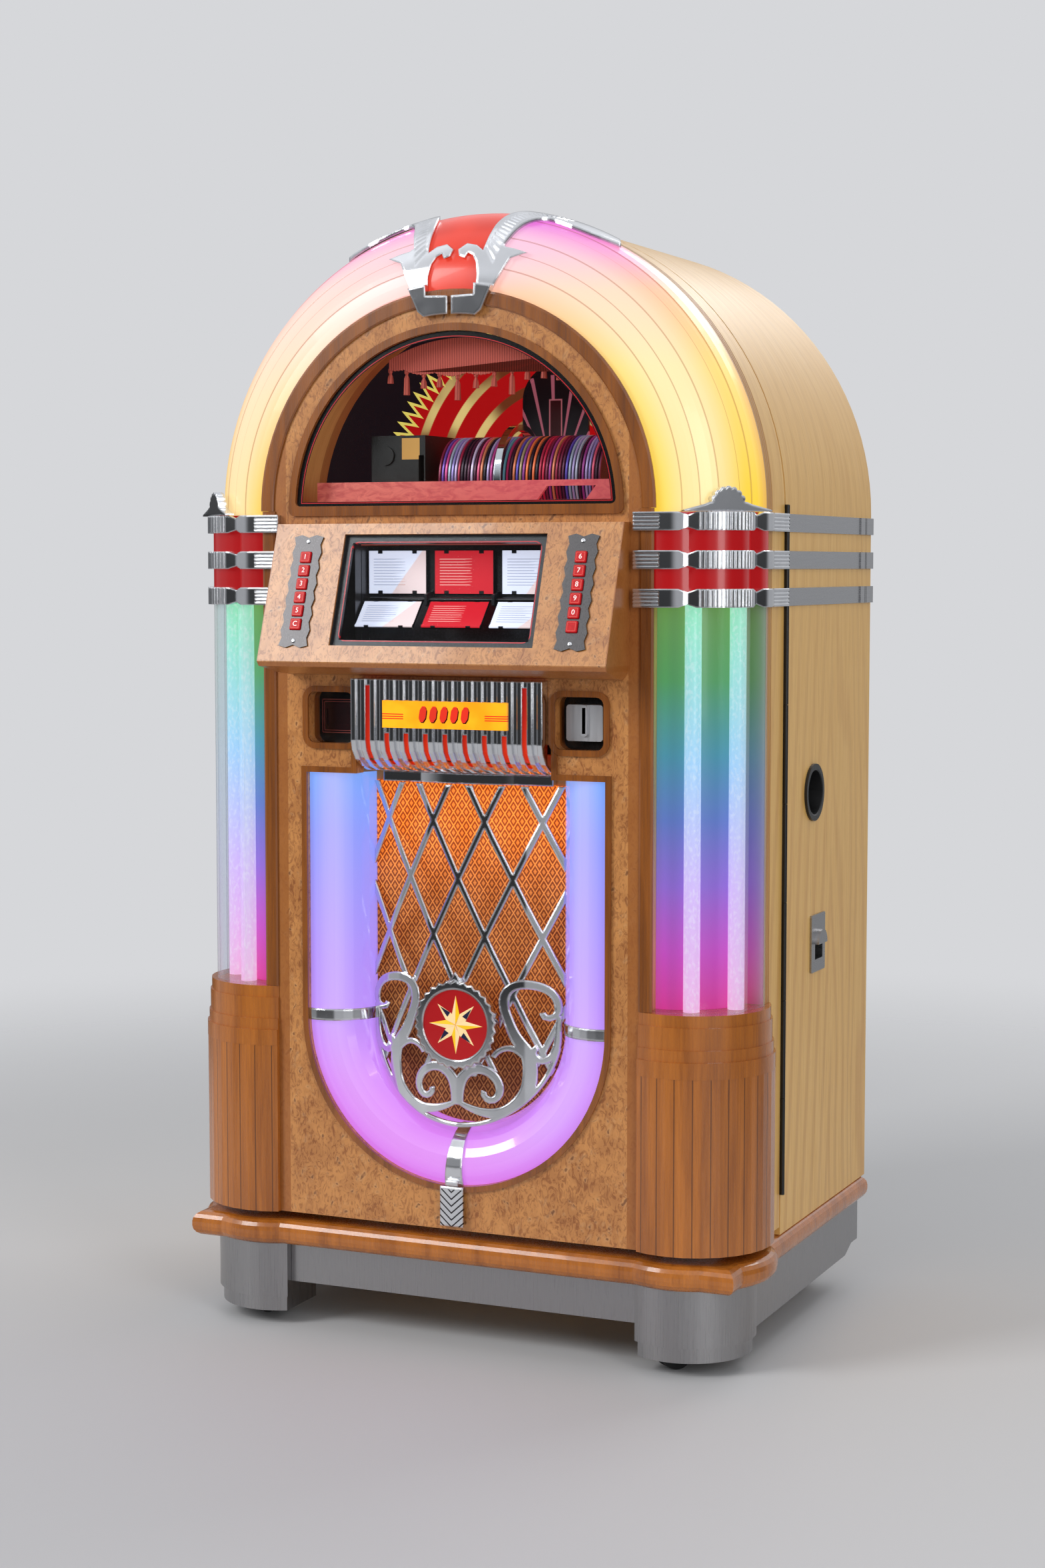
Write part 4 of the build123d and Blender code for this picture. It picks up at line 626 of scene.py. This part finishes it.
def titleRack():
    # black frame with its red keyline, black rack behind it and the upright row of cards
    shader, x, y, z = begin("titleRack")
    foot, head, top = (cards["axis"] + rise for rise in cards["upper"])
    card, across = cardPrint(shader, x, top - z, top - foot)
    near, deep = cards["upperDepth"]
    isCard = across * z.within(foot, head) * y.within(faceFront + near, faceFront + deep)
    up, out = onSlope(y, z)
    edge = roundedEdge(x, up - titleFrame["middle"], *titleFrame["half"], titleFrame["corner"])
    keyline = edge.within(0.0, titleFrame["keyline"]) * out.over(-titleFrame["depth"])
    grain = shader.grain(500.0)
    colour = shader.mix(grain.ramp(0.4, 0.7), cards["black"], rgb(34, 34, 42))
    colour = shader.mix(keyline, colour, titleFrame["red"])
    colour = shader.mix(isCard, colour, card)
    # painted light: the cards and, more faintly, the red keyline glow, standing in for the lamp that lights
    # the titles
    light = shader.mix((isCard + keyline * 0.6).least(1.0), rgb(0, 0, 0), colour)
    return shader.glowing(colour, glow["card"], 0.35, light)


def titleLeaves():
    # lower cards on their shaft
    shader, x, _, z = begin("titleLeaves")
    reach = (cards["axis"] - z) / math.cos(math.radians(cards["lean"]))
    card, across = cardPrint(shader, x, reach, cards["lowerLength"])
    isCard = across * reach.within(*cards["lower"])
    colour = shader.mix(isCard, cards["black"], card)
    # painted light: the printed cards glow, standing in for the lamp that lights the titles
    light = shader.mix(isCard, rgb(0, 0, 0), colour)
    return shader.glowing(colour, glow["card"], 0.3, light)


keys = {
    "pitch": 0.0189,
    "first": 0.0485,  # first key above the middle of the slope
    "outlineHalf": 0.0058,
    "outline": 0.00022,
    "front": 0.0048,
}


def keyRed():
    # gloss key with a fine pale outline near its edge
    shader, x, y, z = begin("keyRed")
    up, out = onSlope(y, z)
    step = keys["pitch"]
    along = (up - keys["first"] + step / 2).repeat(step) - step / 2
    edge = roundedEdge(abs(x) - keyColumn, along, keys["outlineHalf"], keys["outlineHalf"], 0.0012)
    outline = abs(edge).under(keys["outline"]) * out.over(keys["front"])
    grain = shader.grain(300.0)
    colour = shader.mix(grain.ramp(0.3, 0.7), rgb(186, 6, 16), rgb(204, 12, 20))
    colour = shader.mix(outline, colour, rgb(232, 110, 96))
    return shader.glowing(colour, 0.18, 0.4, None, {"Specular IOR Level": 0.25})


display = {
    "floor": 0.0335,  # behind the facade's front
    "half": (0.033, 0.024),
    "outer": (0.0315, 0.0225),
    "inner": (0.0285, 0.0195),
    "line": (0.0007, 0.0006),
}


def recessWood(shader, y, floorColour):
    # trim wood inside a recess, and the colour of its floor
    fine = shader.figure((300, 300, 20), 3)
    colour = shader.mix(fine, wood["trimPale"], wood["trimDark"])
    floor = y.over(faceFront + display["floor"])
    return shader.mix(floor, colour, floorColour), floor, fine


def creditPanel():
    # brown recess, with a dark red display that has two fine pale lines
    shader, x, y, z = begin("creditPanel")
    low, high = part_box("credit_display")
    middle = (low + high) / 2
    across, up = x - middle.x, z - middle.z
    colour, floor = recessWood(shader, y, rgb(16, 12, 12))[:2]
    inside = roundedEdge(across, up, *display["half"], 0.001).under(0.0) * floor
    colour = shader.mix(inside, colour, rgb(48, 6, 12))
    lines = [roundedEdge(across, up, *display[name], 0.001).within(0.0, width)
             for name, width in zip(("outer", "inner"), display["line"])]
    colour = shader.mix((lines[0] + lines[1]) * floor * 0.8, colour, rgb(226, 120, 110))
    return shader.principled({
        "Base Color": colour, "Roughness": 0.25, "Coat Weight": 0.3, "Coat Roughness": 0.05})


coinPlate = {"half": (0.0262, 0.0242), "back": 0.0338, "slotHalf": (0.0024, 0.0172), "slotRise": 0.003}


def coinBlock():
    # brown recess round a plated slot block
    shader, x, y, z = begin("coinBlock")
    low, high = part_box("coin_entry")
    middle = (low + high) / 2
    across, up = x - middle.x, z - middle.z
    halfAcross, halfUp = coinPlate["half"]
    plated = abs(across).under(halfAcross) * abs(up).under(halfUp) * y.under(faceFront + coinPlate["back"])
    halfAcross, halfUp = coinPlate["slotHalf"]
    slot = abs(across).under(halfAcross) * abs(up - coinPlate["slotRise"]).under(halfUp)
    colour, _, fine = recessWood(shader, y, rgb(14, 12, 12))
    colour = shader.mix(plated, colour, rgb(206, 208, 212))
    # painted shade: the slot's opening is coloured near black
    colour = shader.mix(plated * slot, colour, rgb(8, 8, 8))
    rough = fine.ramp(0.2, 0.8, 0.2, 0.3) + plated * 0.16
    return shader.principled({"Base Color": colour, "Metallic": plated * 0.8, "Roughness": rough})


plateLines = {"pitch": 0.003, "width": 0.47, "half": 0.0045, "drop": 0.002, "from": 0.06}


def orangePlate():
    # lit name plate, left without a name: only three thin red lines at each end
    shader, x, _, z = begin("orangePlate")
    low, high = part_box("name_panel")
    up = z - (low.z + high.z) / 2 + plateLines["drop"]
    lines = (up / plateLines["pitch"] + 0.5).repeat(1.0).under(plateLines["width"])
    lines = lines * abs(up).under(plateLines["half"]) * abs(x).over(plateLines["from"])
    run = shader.grain(30.0)
    colour = shader.mix(run.ramp(0.3, 0.7), rgb(255, 158, 10), rgb(255, 178, 24))
    colour = shader.mix(lines, colour, rgb(226, 40, 20))
    return shader.glowing(colour, 0.5, 0.25)


# inside the window

discLow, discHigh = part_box("compact_discs")
discCount = 50
discRow = {
    "pitch": (discHigh.x - discLow.x) / discCount,
    "x": discLow.x,
    "y": (discLow.y + discHigh.y) / 2,
    "z": (discLow.z + discHigh.z) / 2,
    "radius": (discHigh.z - discLow.z) / 2 - 0.0002,
    "hole": 0.0075,
    "half": 0.0011,
    "rim": 0.003,
    "segments": 72,
}


def discEdges():
    # every disc's own colour, from its place in the row
    shader, x, y, z = begin("discEdges")
    place = (x / discRow["pitch"] + 0.5).floor()
    hue = shader.add("ShaderNodeTexWhiteNoise", {"noise_dimensions": "1D"}, {"W": place})
    colour = hue.colours(
        (0.0, 34, 26, 36), (0.22, 90, 30, 60), (0.36, 196, 40, 70),
        (0.48, 90, 74, 170), (0.60, 214, 190, 214), (0.71, 20, 140, 146),
        (0.82, 236, 116, 50), (0.92, 190, 50, 140), (1.0, 130, 186, 50))
    reach = ((y - discRow["y"]) ** 2 + (z - discRow["z"]) ** 2) ** 0.5
    rim = reach.over(discRow["radius"] - discRow["rim"])
    colour = shader.mix(rim, rgb(26, 22, 30), colour)
    # painted light: the discs glow, standing in for the lamps that light the window
    return shader.glowing(colour, 0.2, 0.22, None, {"Metallic": rim * 0.3})


backdropArt = {
    "arcs": (0.02, 0.04),  # the arcs' centre, across and above the spring line
    "arcReach": (0.09, 0.27),
    "corner": 0.262,  # radius of the black corner's edge
    "cornerRise": 0.02,
    "cornerSide": -0.06,
    "spikes": 16,
    "spikeTall": 0.05,
    "edge": 0.006,
}


def backdropRed():
    # red panel with gilt arcs, and a black corner with a jagged gilt edge
    shader, x, y, z = begin("backdropRed")
    art = backdropArt
    reach = ((x - art["arcs"][0]) ** 2 + (z - springHeight - art["arcs"][1]) ** 2) ** 0.5
    arcs = (reach * 24).fold(0.5) * 2
    line = arcs.ramp(0.66, 0.74) * reach.within(*art["arcReach"])
    sheen = shader.figure((9, 1, 9)).ramp(0.4, 0.65)
    gilt = shader.mix(sheen, rgb(120, 60, 30), rgb(255, 236, 150))
    colour = shader.mix(line, rgb(196, 12, 18), gilt)
    rise = z - springHeight - art["cornerRise"]
    far = (x ** 2 + rise ** 2) ** 0.5 + (rise.angle(x) * art["spikes"]).fold(0.5) * art["spikeTall"]
    side = x.under(art["cornerSide"])
    colour = shader.mix(far.over(art["corner"]) * side, colour, rgb(18, 14, 22))
    edge = abs(far - art["corner"]).under(art["edge"]) * side
    colour = shader.mix(edge, colour, rgb(255, 246, 120))
    front = y.under(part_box("backdrop_panel")[0].y + 0.0005)
    colour = shader.mix(front, rgb(26, 24, 24), colour)
    # painted light: the panel glows, standing in for the lamps that light the window; its front edge stays
    # dark
    light = shader.mix(front, rgb(0, 0, 0), colour)
    return shader.glowing(colour, 0.6, 0.35, light)


rayBoard = {
    "x": 0.050,
    "y": -0.022,
    "foot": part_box("backdrop_panel")[0].z + 0.001,
    "top": springHeight + 0.206,
    "half": 0.050,
    "thick": 0.004,
    "lip": 0.001,
    "raysRise": 0.055,  # the rays' centre above the foot
    "raysReach": (0.020, 0.16),
    "door": (0.008, 0.050),  # half width, and distance below the top
    "doorEdge": (0.010, 0.048),
}


def rayPanel():
    # black panel with pale rays that spread from its little arched doorway
    shader, x, _, z = begin("rayPanel")
    side, rise = x - rayBoard["x"], z - rayBoard["foot"] - rayBoard["raysRise"]
    rays = (rise.angle(side) * 5).fold(0.5).under(0.09)
    reach = (side ** 2 + rise ** 2) ** 0.5
    colour = shader.mix(rays * reach.within(*rayBoard["raysReach"]), rgb(20, 14, 20), rgb(214, 120, 140))
    for name, tint in (("doorEdge", rgb(220, 130, 140)), ("door", rgb(60, 4, 10))):
        half, drop = rayBoard[name]
        door = abs(side).under(half) * z.within(rayBoard["foot"], rayBoard["top"] - drop)
        colour = shader.mix(door, colour, tint)
    # painted light: the panel glows, standing in for the lamps that light the window
    return shader.glowing(colour, 0.3, 0.3)


badge = {"x": 0.022, "z": 0.018, "half": (0.0135, 0.0145), "thick": 0.0029}  # from the case's upper corner


def playerCase():
    # black case with a plain gilt badge
    shader, x, y, z = begin("playerCase")
    low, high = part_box("disc_player")
    halfAcross, halfUp = badge["half"]
    gilt = abs(x - high.x + badge["x"]).under(halfAcross) * abs(z - high.z + badge["z"]).under(halfUp)
    grain = shader.grain(400.0)
    colour = shader.mix(grain, rgb(24, 20, 16), rgb(36, 30, 24))
    colour = shader.mix(gilt * y.under(low.y + badge["thick"]), colour, rgb(236, 176, 84))
    return shader.principled({"Base Color": colour, "Roughness": grain.ramp(0.3, 0.7, 0.3, 0.4)})


def tassel():
    shader, x, _, _ = begin("tasselThread")
    strands = (x * 1800).sine() * 0.5 + 0.5
    colour = shader.mix(strands * 0.6, rgb(206, 92, 74), rgb(112, 28, 26))
    # painted light: the tassels glow a little, standing in for the lamps that light the window
    return shader.glowing(colour, 0.15, 0.7, None, {"Normal": shader.bump(strands, 0.5, 0.0006)})


# materials, each with the pieces, or the parts of pieces, that it covers
surfaces = {
    "cabinet_shell door_frame": oakVeneer(),
    "facia_panel console_box": mapleVeneer(),
    "mechanism_deck": deckMaple(),
    "plinth_moulding": honeyWood("honeyWood", "honeyPale", "honeyDark"),
    "pilaster_bases": honeyWood("staveWood", "honeyPale", "honeyDark", True),
    "facia_mouldings": honeyWood("trimWood", "trimPale", "trimDark"),
    "gripper_arm plateScrews": chrome("chrome", 0.0012),
    "crest_castings grille_lattice": chrome("castChrome", 0.0045),
    "scroll_castings": chrome("scrollChrome", 0.0045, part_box("u_tube")[0].z - 0.004),
    "band_castings waterfall_casting": chrome("ribChrome", 0.0030),
    "coin_return_cup disc_carriage front_left_fork front_right_fork": brushedSteel("brushedSteel", 176),
    "plinth_cladding": brushedSteel("steelUpright", 172, True),
    "side_bands": sideBandSteel(),
    "keypad_plates": brushedSteel("keyPlateSteel", 84, True),
    "power_inlet base_frame carry_cups cabinet_hinge_leaf door_hinge_leaf "
    "disc_magazine amplifier_chassis": blackFinish("blackPaint"),
    "rear_panel loudspeaker": blackFinish("blackBoard", 22, 0.6),
    "front_left_wheel front_right_wheel rear_wheels": blackFinish("treadRubber", 20, 0.7),
    "arch_plastics": archPlastic(),
    "red_plastics": redPlastic(),
    "column_lamps": columnGlow(),
    "u_tube": tubePlastic(),
    "column_covers": clearSkin("clearCover", rgb(244, 247, 249), 0.02, 0.4),
    "door_glazing": clearSkin("paneGlass", rgb(248, 250, 251), 0.0, 0.12),
    "grille_cloth": grilleCloth(),
    "name_panel": orangePlate(),
    "title_rack": titleRack(),
    "title_leaves": titleLeaves(),
    "keys": keyRed(),
    "credit_display": creditPanel(),
    "coin_entry": coinBlock(),
    "compact_discs discRow": discEdges(),
    "backdrop_panel": backdropRed(),
    "rayBoard": rayPanel(),
    "disc_player": playerCase(),
    "windowValance": tassel(),
    "cream": plainGlow("starCream", rgb(246, 214, 158), 0.35),
    "yellow": plainGlow("starYellow", rgb(246, 196, 20), 0.35),
    "navy": plainGlow("starNavy", rgb(20, 26, 64), 0.1),
    "figure": plainGlow("keyFigure", rgb(250, 236, 232), 0.5),
    "motifRed": plainGlow("motifRed", rgb(226, 44, 22), 0.4),
    "borderBlack": blackFinish("borderBlack", 8, 0.2),
    "borderRed": plainGlow("borderRed", rgb(186, 16, 26), 0.2),
}
made = {name: material for names, material in surfaces.items() for name in names.split()}


def smooth(mesh, angle=32.0):
    # smooth shading with sharp edges kept
    mesh.shade_smooth()
    mesh.set_sharp_from_angle(angle=math.radians(angle))


for nodeName, piece in nodes.items():
    piece.data.materials.clear()
    piece.data.materials.append(made.get(nodeName, made["keys"]))
    smooth(piece.data)
print("materials on", len(nodes), "pieces")


# mesh pieces

def addObject(name, data):
    thing = bpy.data.objects.new(name, data)
    scene.collection.objects.link(thing)
    return thing


def addPiece(name, build, materials, body, angle=32.0):
    # build fills an empty bmesh
    work = bmesh.new()
    build(work)
    bmesh.ops.recalc_face_normals(work, faces=work.faces)
    mesh = bpy.data.meshes.new(name)
    work.to_mesh(mesh)
    work.free()
    for key in materials.split():
        mesh.materials.append(made[key])
    smooth(mesh, angle)
    piece = addObject(name, mesh)
    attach(piece, body)
    return piece


def frontLay(y):
    return lambda across, up, out: Vector((across, y - out, up))


def slopeLay(across, up, out):
    return slopeMiddle + Vector((across, 0, 0)) + slopeUp * up + slopeOut * out


def slab(work, outline, low, high, lay, slotIndex=0):
    # closed plate between two heights over a lay of the plane
    lower = [work.verts.new(lay(u, v, low)) for u, v in outline]
    upper = [work.verts.new(lay(u, v, high)) for u, v in outline]
    faces = [work.faces.new(upper), work.faces.new(list(reversed(lower)))]
    for i in range(len(outline)):
        j = (i + 1) % len(outline)
        faces.append(work.faces.new((lower[i], lower[j], upper[j], upper[i])))
    for face in faces:
        face.material_index = slotIndex


def band(work, outer, inner, low, high, lay, slotIndex=0):
    # closed ring between two outlines with as many points each
    rings = [[work.verts.new(lay(u, v, out)) for u, v in line]
             for line, out in ((outer, low), (outer, high), (inner, high), (inner, low))]
    for i in range(len(outer)):
        j = (i + 1) % len(outer)
        for a, b in zip(rings, rings[1:] + rings[:1]):
            work.faces.new((a[i], a[j], b[j], b[i])).material_index = slotIndex


def lathe(work, profile, lay, segments=20):
    # profile points are (radius, height); lay turns (across, up, out) into a place
    rings = [[work.verts.new(lay(u, v, height)) for u, v in circle(radius, segments)]
             for radius, height in profile]
    for a, b in zip(rings, rings[1:]):
        for i in range(segments):
            j = (i + 1) % segments
            work.faces.new((a[i], a[j], b[j], b[i]))
    work.faces.new(list(reversed(rings[0])))
    work.faces.new(rings[-1])


def circle(radius, count):
    turns = [math.tau * i / count for i in range(count)]
    return [(radius * math.cos(a), radius * math.sin(a)) for a in turns]


def makeDiscs():
    def build(work):
        row = discRow
        outer, inner = circle(row["radius"], row["segments"]), circle(row["hole"], row["segments"])
        for i in range(discCount):
            x = row["x"] + (i + 0.5) * row["pitch"]
            band(work, outer, inner, -row["half"], row["half"],
                 lambda u, v, w, x=x: Vector((x + w, row["y"] + u, row["z"] + v)))
    piece = addPiece("discRow", build, "discRow", "cabinet")
    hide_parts("compact_discs")


windowBorder = {
    "outer": 0.2358,
    "foot": springHeight + 0.0036,
    "front": faceFront + 0.001,
    "steps": (0.0, 0.0063, 0.0075, 0.0085),  # black, red and black lines, inwards from the edge
    "thick": 0.0006,
}


def halfDisc(radius, foot, count=64, footCount=9):
    # outline of the half-round window, from its foot's right end round to its left end
    start = math.asin((foot - springHeight) / radius)
    turns = [start + (math.pi - 2 * start) * i / count for i in range(count + 1)]
    arc = [(radius * math.cos(a), springHeight + radius * math.sin(a)) for a in turns]
    left, right = arc[-1][0], arc[0][0]
    return arc + [(left + (right - left) * i / footCount, foot) for i in range(1, footCount)]


def makeWindowBorder():
    border = windowBorder
    lines = [halfDisc(border["outer"] - step, border["foot"] + step) for step in border["steps"]]

    def build(work):
        for index, (outer, inner) in enumerate(zip(lines, lines[1:])):
            band(work, outer, inner, 0.0, border["thick"], frontLay(border["front"]), index % 2)
    addPiece("windowBorder", build, "borderBlack borderRed", "door")


def makeRayBoard():
    board = rayBoard
    x, foot, half = board["x"], board["foot"], board["half"]

    def build(work):
        turns = [math.pi * i / 24 for i in range(25)]
        outer = [(x + half * math.cos(a), board["top"] - half + half * math.sin(a)) for a in turns]
        outer += [(x - half, foot), (x + half, foot)]
        inner = [(x + (u - x) * 0.95, foot + (v - foot) * 0.975) for u, v in outer]
        slab(work, inner, 0.0, board["thick"], frontLay(board["y"]))
        band(work, outer, inner, 0.0, board["thick"] + board["lip"], frontLay(board["y"]))
    addPiece("rayBoard", build, "rayBoard", "cabinet")


valance = {
    "y": faceFront + 0.030,
    "radius": 0.229,
    "turn": (52, 118),  # in degrees
    "count": 88,
    "thick": 0.003,
    "hem": 0.183,  # above the spring line
    "bow": 0.9,
    "sag": 0.004,
    "gather": 0.0012,
    "tassels": 11,
    "drop": 0.036,
    "tasselY": 0.0015,
    "tasselRise": 0.004,
    "profile": [(0.0008, 0.0), (0.0030, 0.003), (0.0030, 0.007), (0.0016, 0.009), (0.0036, 0.014)],
    "skirt": 0.0044,
}


def makeValance():
    # gathered strip under the top of the window, with a fringe and a row of tassels
    hang = valance
    count, tassels, y = hang["count"], hang["tassels"], hang["y"]

    def build(work):
        outer, inner = [], []
        for i in range(count + 1):
            first, last = hang["turn"]
            turn = math.radians(first + (last - first) * i / count)
            x = hang["radius"] * math.cos(turn)
            outer.append((x, springHeight + hang["radius"] * math.sin(turn)))
            sag = hang["sag"] * abs(math.sin(math.pi * tassels / 2 * i / count)) + hang["gather"] * (i % 2)
            inner.append((x, springHeight + hang["hem"] + hang["bow"] * x * x - sag))
        slab(work, outer + inner[::-1], 0.0, hang["thick"], frontLay(y))
        for i in range(tassels):
            u, v = inner[round(i / (tassels - 1) * count)]
            profile = hang["profile"] + [(hang["skirt"], hang["drop"] * (0.75 + 0.25 * math.cos(i * 2.1)))]
            lathe(work, profile, lambda a, b, c, u=u, v=v + hang["tasselRise"]:
                  Vector((u + a, y + hang["tasselY"] + b, v - c)), 14)
    addPiece("windowValance", build, "windowValance", "door")


star = {
    "middle": 0.2195,  # above the foot of the light tube
    "front": 0.0065,
    "long": 0.040,
    "notch": 0.0150,
    "height": 0.0022,
    "foot": 0.0004,
    "diagonal": (0.96, 1.1, 0.55),  # length, notch and height of the points between, to the upright ones
    "inset": ((0.86, 0, -1), (0, 1.22, -19), (0, 1.05, 5)),  # lengths, notches and degrees off the point
}


def makeStar():
    # eight-pointed star in shallow relief: four pinwheel points over four with a dark inset
    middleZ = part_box("u_tube")[0].z + star["middle"]
    lay = frontLay(faceFront + star["front"])

    def point(radius, degrees):
        turn = math.radians(degrees)
        return radius * math.cos(turn), middleZ + radius * math.sin(turn)

    def build(work):
        def facet(places, slotIndex):
            face = work.faces.new([work.verts.new(lay(u, v, out)) for (u, v), out in places])
            face.material_index = slotIndex
        for i in range(8):
            centre, main = 90 + 45 * i, i % 2 == 0
            scale = (1.0, 1.0, 1.0) if main else star["diagonal"]
            long, notch, lift = (star[name] * k for name, k in zip(("long", "notch", "height"), scale))
            for side in (-1, 1):
                corner = point(notch, centre + side * 22.5)
                ends = ((point(long, centre), star["foot"]), (corner, star["foot"]))
                facet((*ends, (point(0.0, centre), lift)), 1 if main and side < 0 else 0)
            if not main:
                facet([(point(long * along + star["notch"] * across, centre + degrees), lift * 0.9)
                       for along, across, degrees in star["inset"]], 2)
    addPiece("medallionStar", build, "cream yellow navy", "door", 1.0)


screws = {"radius": 0.0032, "foot": 0.0023, "height": 0.0012, "socket": (0.0009, 0.0007), "middle": 0.001,
          "along": 0.0700}


def makeScrews():
    # domed heads with a small socket, two on each key plate
    radius, foot = screws["radius"], screws["foot"]
    half, top = foot + screws["height"] * 0.5, foot + screws["height"]
    wide, narrow = screws["socket"]
    profile = [(radius, foot), (radius * 0.96, half), (radius * 0.6, top), (wide, top), (narrow, half)]

    def build(work):
        for side in (-1, 1):
            for end in (-1, 1):
                across, up = side * keyColumn, screws["middle"] + end * screws["along"]
                lathe(work, profile, lambda a, b, c, u=across, v=up: slopeLay(u + a, v + b, c), 18)
    addPiece("plateScrews", build, "plateScrews", "door")


motif = {
    "count": 5,
    "pitch": 0.0155,
    "half": 0.0042,
    "tall": 0.0105,
    "lean": 0.0016,
    "thick": 0.0006,
    "rise": 0.001,
    "offset": 0.0012,
    "corners": ((-0.5, -1, -1), (0.5, -1, -1), (1, -0.5, 0), (1, 0.5, 1), (0.5, 1, 1), (-0.5, 1, 1),
                (-1, 0.5, 0), (-1, -0.5, -1)),  # shares of half, tall and lean
}


def makeMotif():
    # five leaning lozenges with dark offsets, in place of a name
    low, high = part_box("name_panel")
    middle = (low.z + high.z) / 2 + motif["rise"]
    outline = [(u * motif["half"] + k * motif["lean"], v * motif["tall"]) for u, v, k in motif["corners"]]

    def lozenge(work, centre, shift, thick, slotIndex):
        points = [(centre + u + shift, middle + v - shift) for u, v in outline]
        slab(work, points, 0.0, thick, frontLay(low.y), slotIndex)

    def build(work):
        for i in range(motif["count"]):
            centre = (i - (motif["count"] - 1) / 2) * motif["pitch"]
            lozenge(work, centre, motif["offset"], motif["thick"] * 0.5, 1)
            lozenge(work, centre, 0.0, motif["thick"], 0)
    addPiece("plateMotif", build, "motifRed borderBlack", "door")


figures = {"size": 0.0098, "thick": 0.00012, "front": 0.0053, "keyMiddle": 0.008255}  # above the key's foot


def makeFigures():
    for name, figure in [(f"key_{n}", str(n)) for n in range(10)] + [("key_cancel", "C")]:
        low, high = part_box(name)
        up = (low.z + figures["keyMiddle"] - slopeMiddle.z) / slopeUp.z
        curve = bpy.data.curves.new(name + "Figure", "FONT")
        curve.body = figure
        curve.size = figures["size"]
        curve.align_x, curve.align_y = "CENTER", "CENTER"
        curve.extrude = figures["thick"]
        curve.materials.append(made["figure"])
        piece = addObject(name + "Figure", curve)
        piece.location = slopeLay((low.x + high.x) / 2, up, figures["front"])
        piece.rotation_euler = (math.acos(slopeUp.y), 0, 0)
        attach(piece, name)


makeDiscs()
makeWindowBorder()
makeRayBoard()
makeValance()
makeStar()
makeScrews()
makeMotif()
makeFigures()
print("window, medallion, console and plate pieces made")


# camera, stage and lights

view = {"place": (1.5242, -3.4639, 1.0642), "yaw": 23.92, "pitch": 4.68, "lens": 60.92}


def makeCamera():
    data = bpy.data.cameras.new("camera")
    data.lens = view["lens"]
    data.sensor_width = 36.0
    camera = addObject("camera", data)
    camera.location = view["place"]
    camera.rotation_euler = (math.radians(90 - view["pitch"]), 0, math.radians(view["yaw"]))
    scene.camera = camera


ground = {"half": 14.0, "fade": (1.2, 3.4)}


def makeFloor():
    # pale floor that fades into the backdrop
    mesh = bpy.data.meshes.new("floor")
    half = ground["half"]
    corners = [(-half, -half, 0), (half, -half, 0), (half, half, 0), (-half, half, 0)]
    mesh.from_pydata(corners, [], [(0, 1, 2, 3)])
    floor = addObject("floor", mesh)
    shader, x, y, _ = begin("paleFloor")
    colour = shader.mix(shader.grain(0.8, 3), rgb(206, 206, 208), rgb(214, 214, 215))
    fade = ((x * x + y * y) ** 0.5).ramp(*ground["fade"], 1.0, 0.0)
    mesh.materials.append(shader.principled({"Base Color": colour, "Roughness": 0.6, "Alpha": fade}))


studio = {
    "world": 0.46,
    "mirrored": 1.4,
    "backdrop": rgb(214, 215, 218),
    "lamps": (  # name, place, aim, size and power
        ("keyLight", (-2.6, -3.2, 2.9), (0, 0, 0.9), (1.6, 2.2), 100.0),
        ("fillLight", (3.2, -2.6, 1.8), (0, 0, 0.8), (1.4, 2.4), 42.0),
        ("rimLight", (0.8, 2.6, 3.2), (0, 0, 1.2), (2.0, 1.2), 34.0)),
}


def softLight(name, place, aim, size, watts):
    data = bpy.data.lights.new(name, "AREA")
    data.shape = "RECTANGLE"
    data.size, data.size_y = size
    data.energy = watts
    lamp = addObject(name, data)
    lamp.location = place
    lamp.rotation_euler = (Vector(aim) - Vector(place)).to_track_quat("-Z", "Y").to_euler()


def makeWorld():
    # even soft light, a plain backdrop for the camera, and a studio of dark and bright parts in reflections
    shader = Shader("studio", True)
    x, y, z = shader.place(0)
    sides = (x.angle(y) * 3 + 0.6).sine() * 0.5 + 0.5
    level = z.ramp(-0.05, 0.55) * 0.85 + sides.ramp(0.25, 0.8) * 0.42 + 0.04
    sky = shader.mix(level / studio["mirrored"], rgb(0, 0, 0), rgb(240, 242, 246))
    even, mirrored, backdrop = (
        shader.add("ShaderNodeBackground", None, {"Color": colour, "Strength": strength})
        for colour, strength in ((rgb(226, 228, 231), studio["world"]), (sky, studio["mirrored"]),
                                 (studio["backdrop"], 1.0)))
    rays = shader.add("ShaderNodeLightPath").socket.node.outputs
    glossy, seen = Wire(shader, rays["Is Glossy Ray"]), Wire(shader, rays["Is Camera Ray"])
    seen = seen.most(Wire(shader, rays["Is Transmission Ray"]))
    light = shader.add("ShaderNodeMixShader", None, {0: glossy, 1: even, 2: mirrored})
    scene.world = shader.finish(shader.add("ShaderNodeMixShader", None, {0: seen, 1: light, 2: backdrop}))


makeCamera()
makeFloor()
makeWorld()
for lamp in studio["lamps"]:
    softLight(*lamp)
print("camera, floor and lights placed")
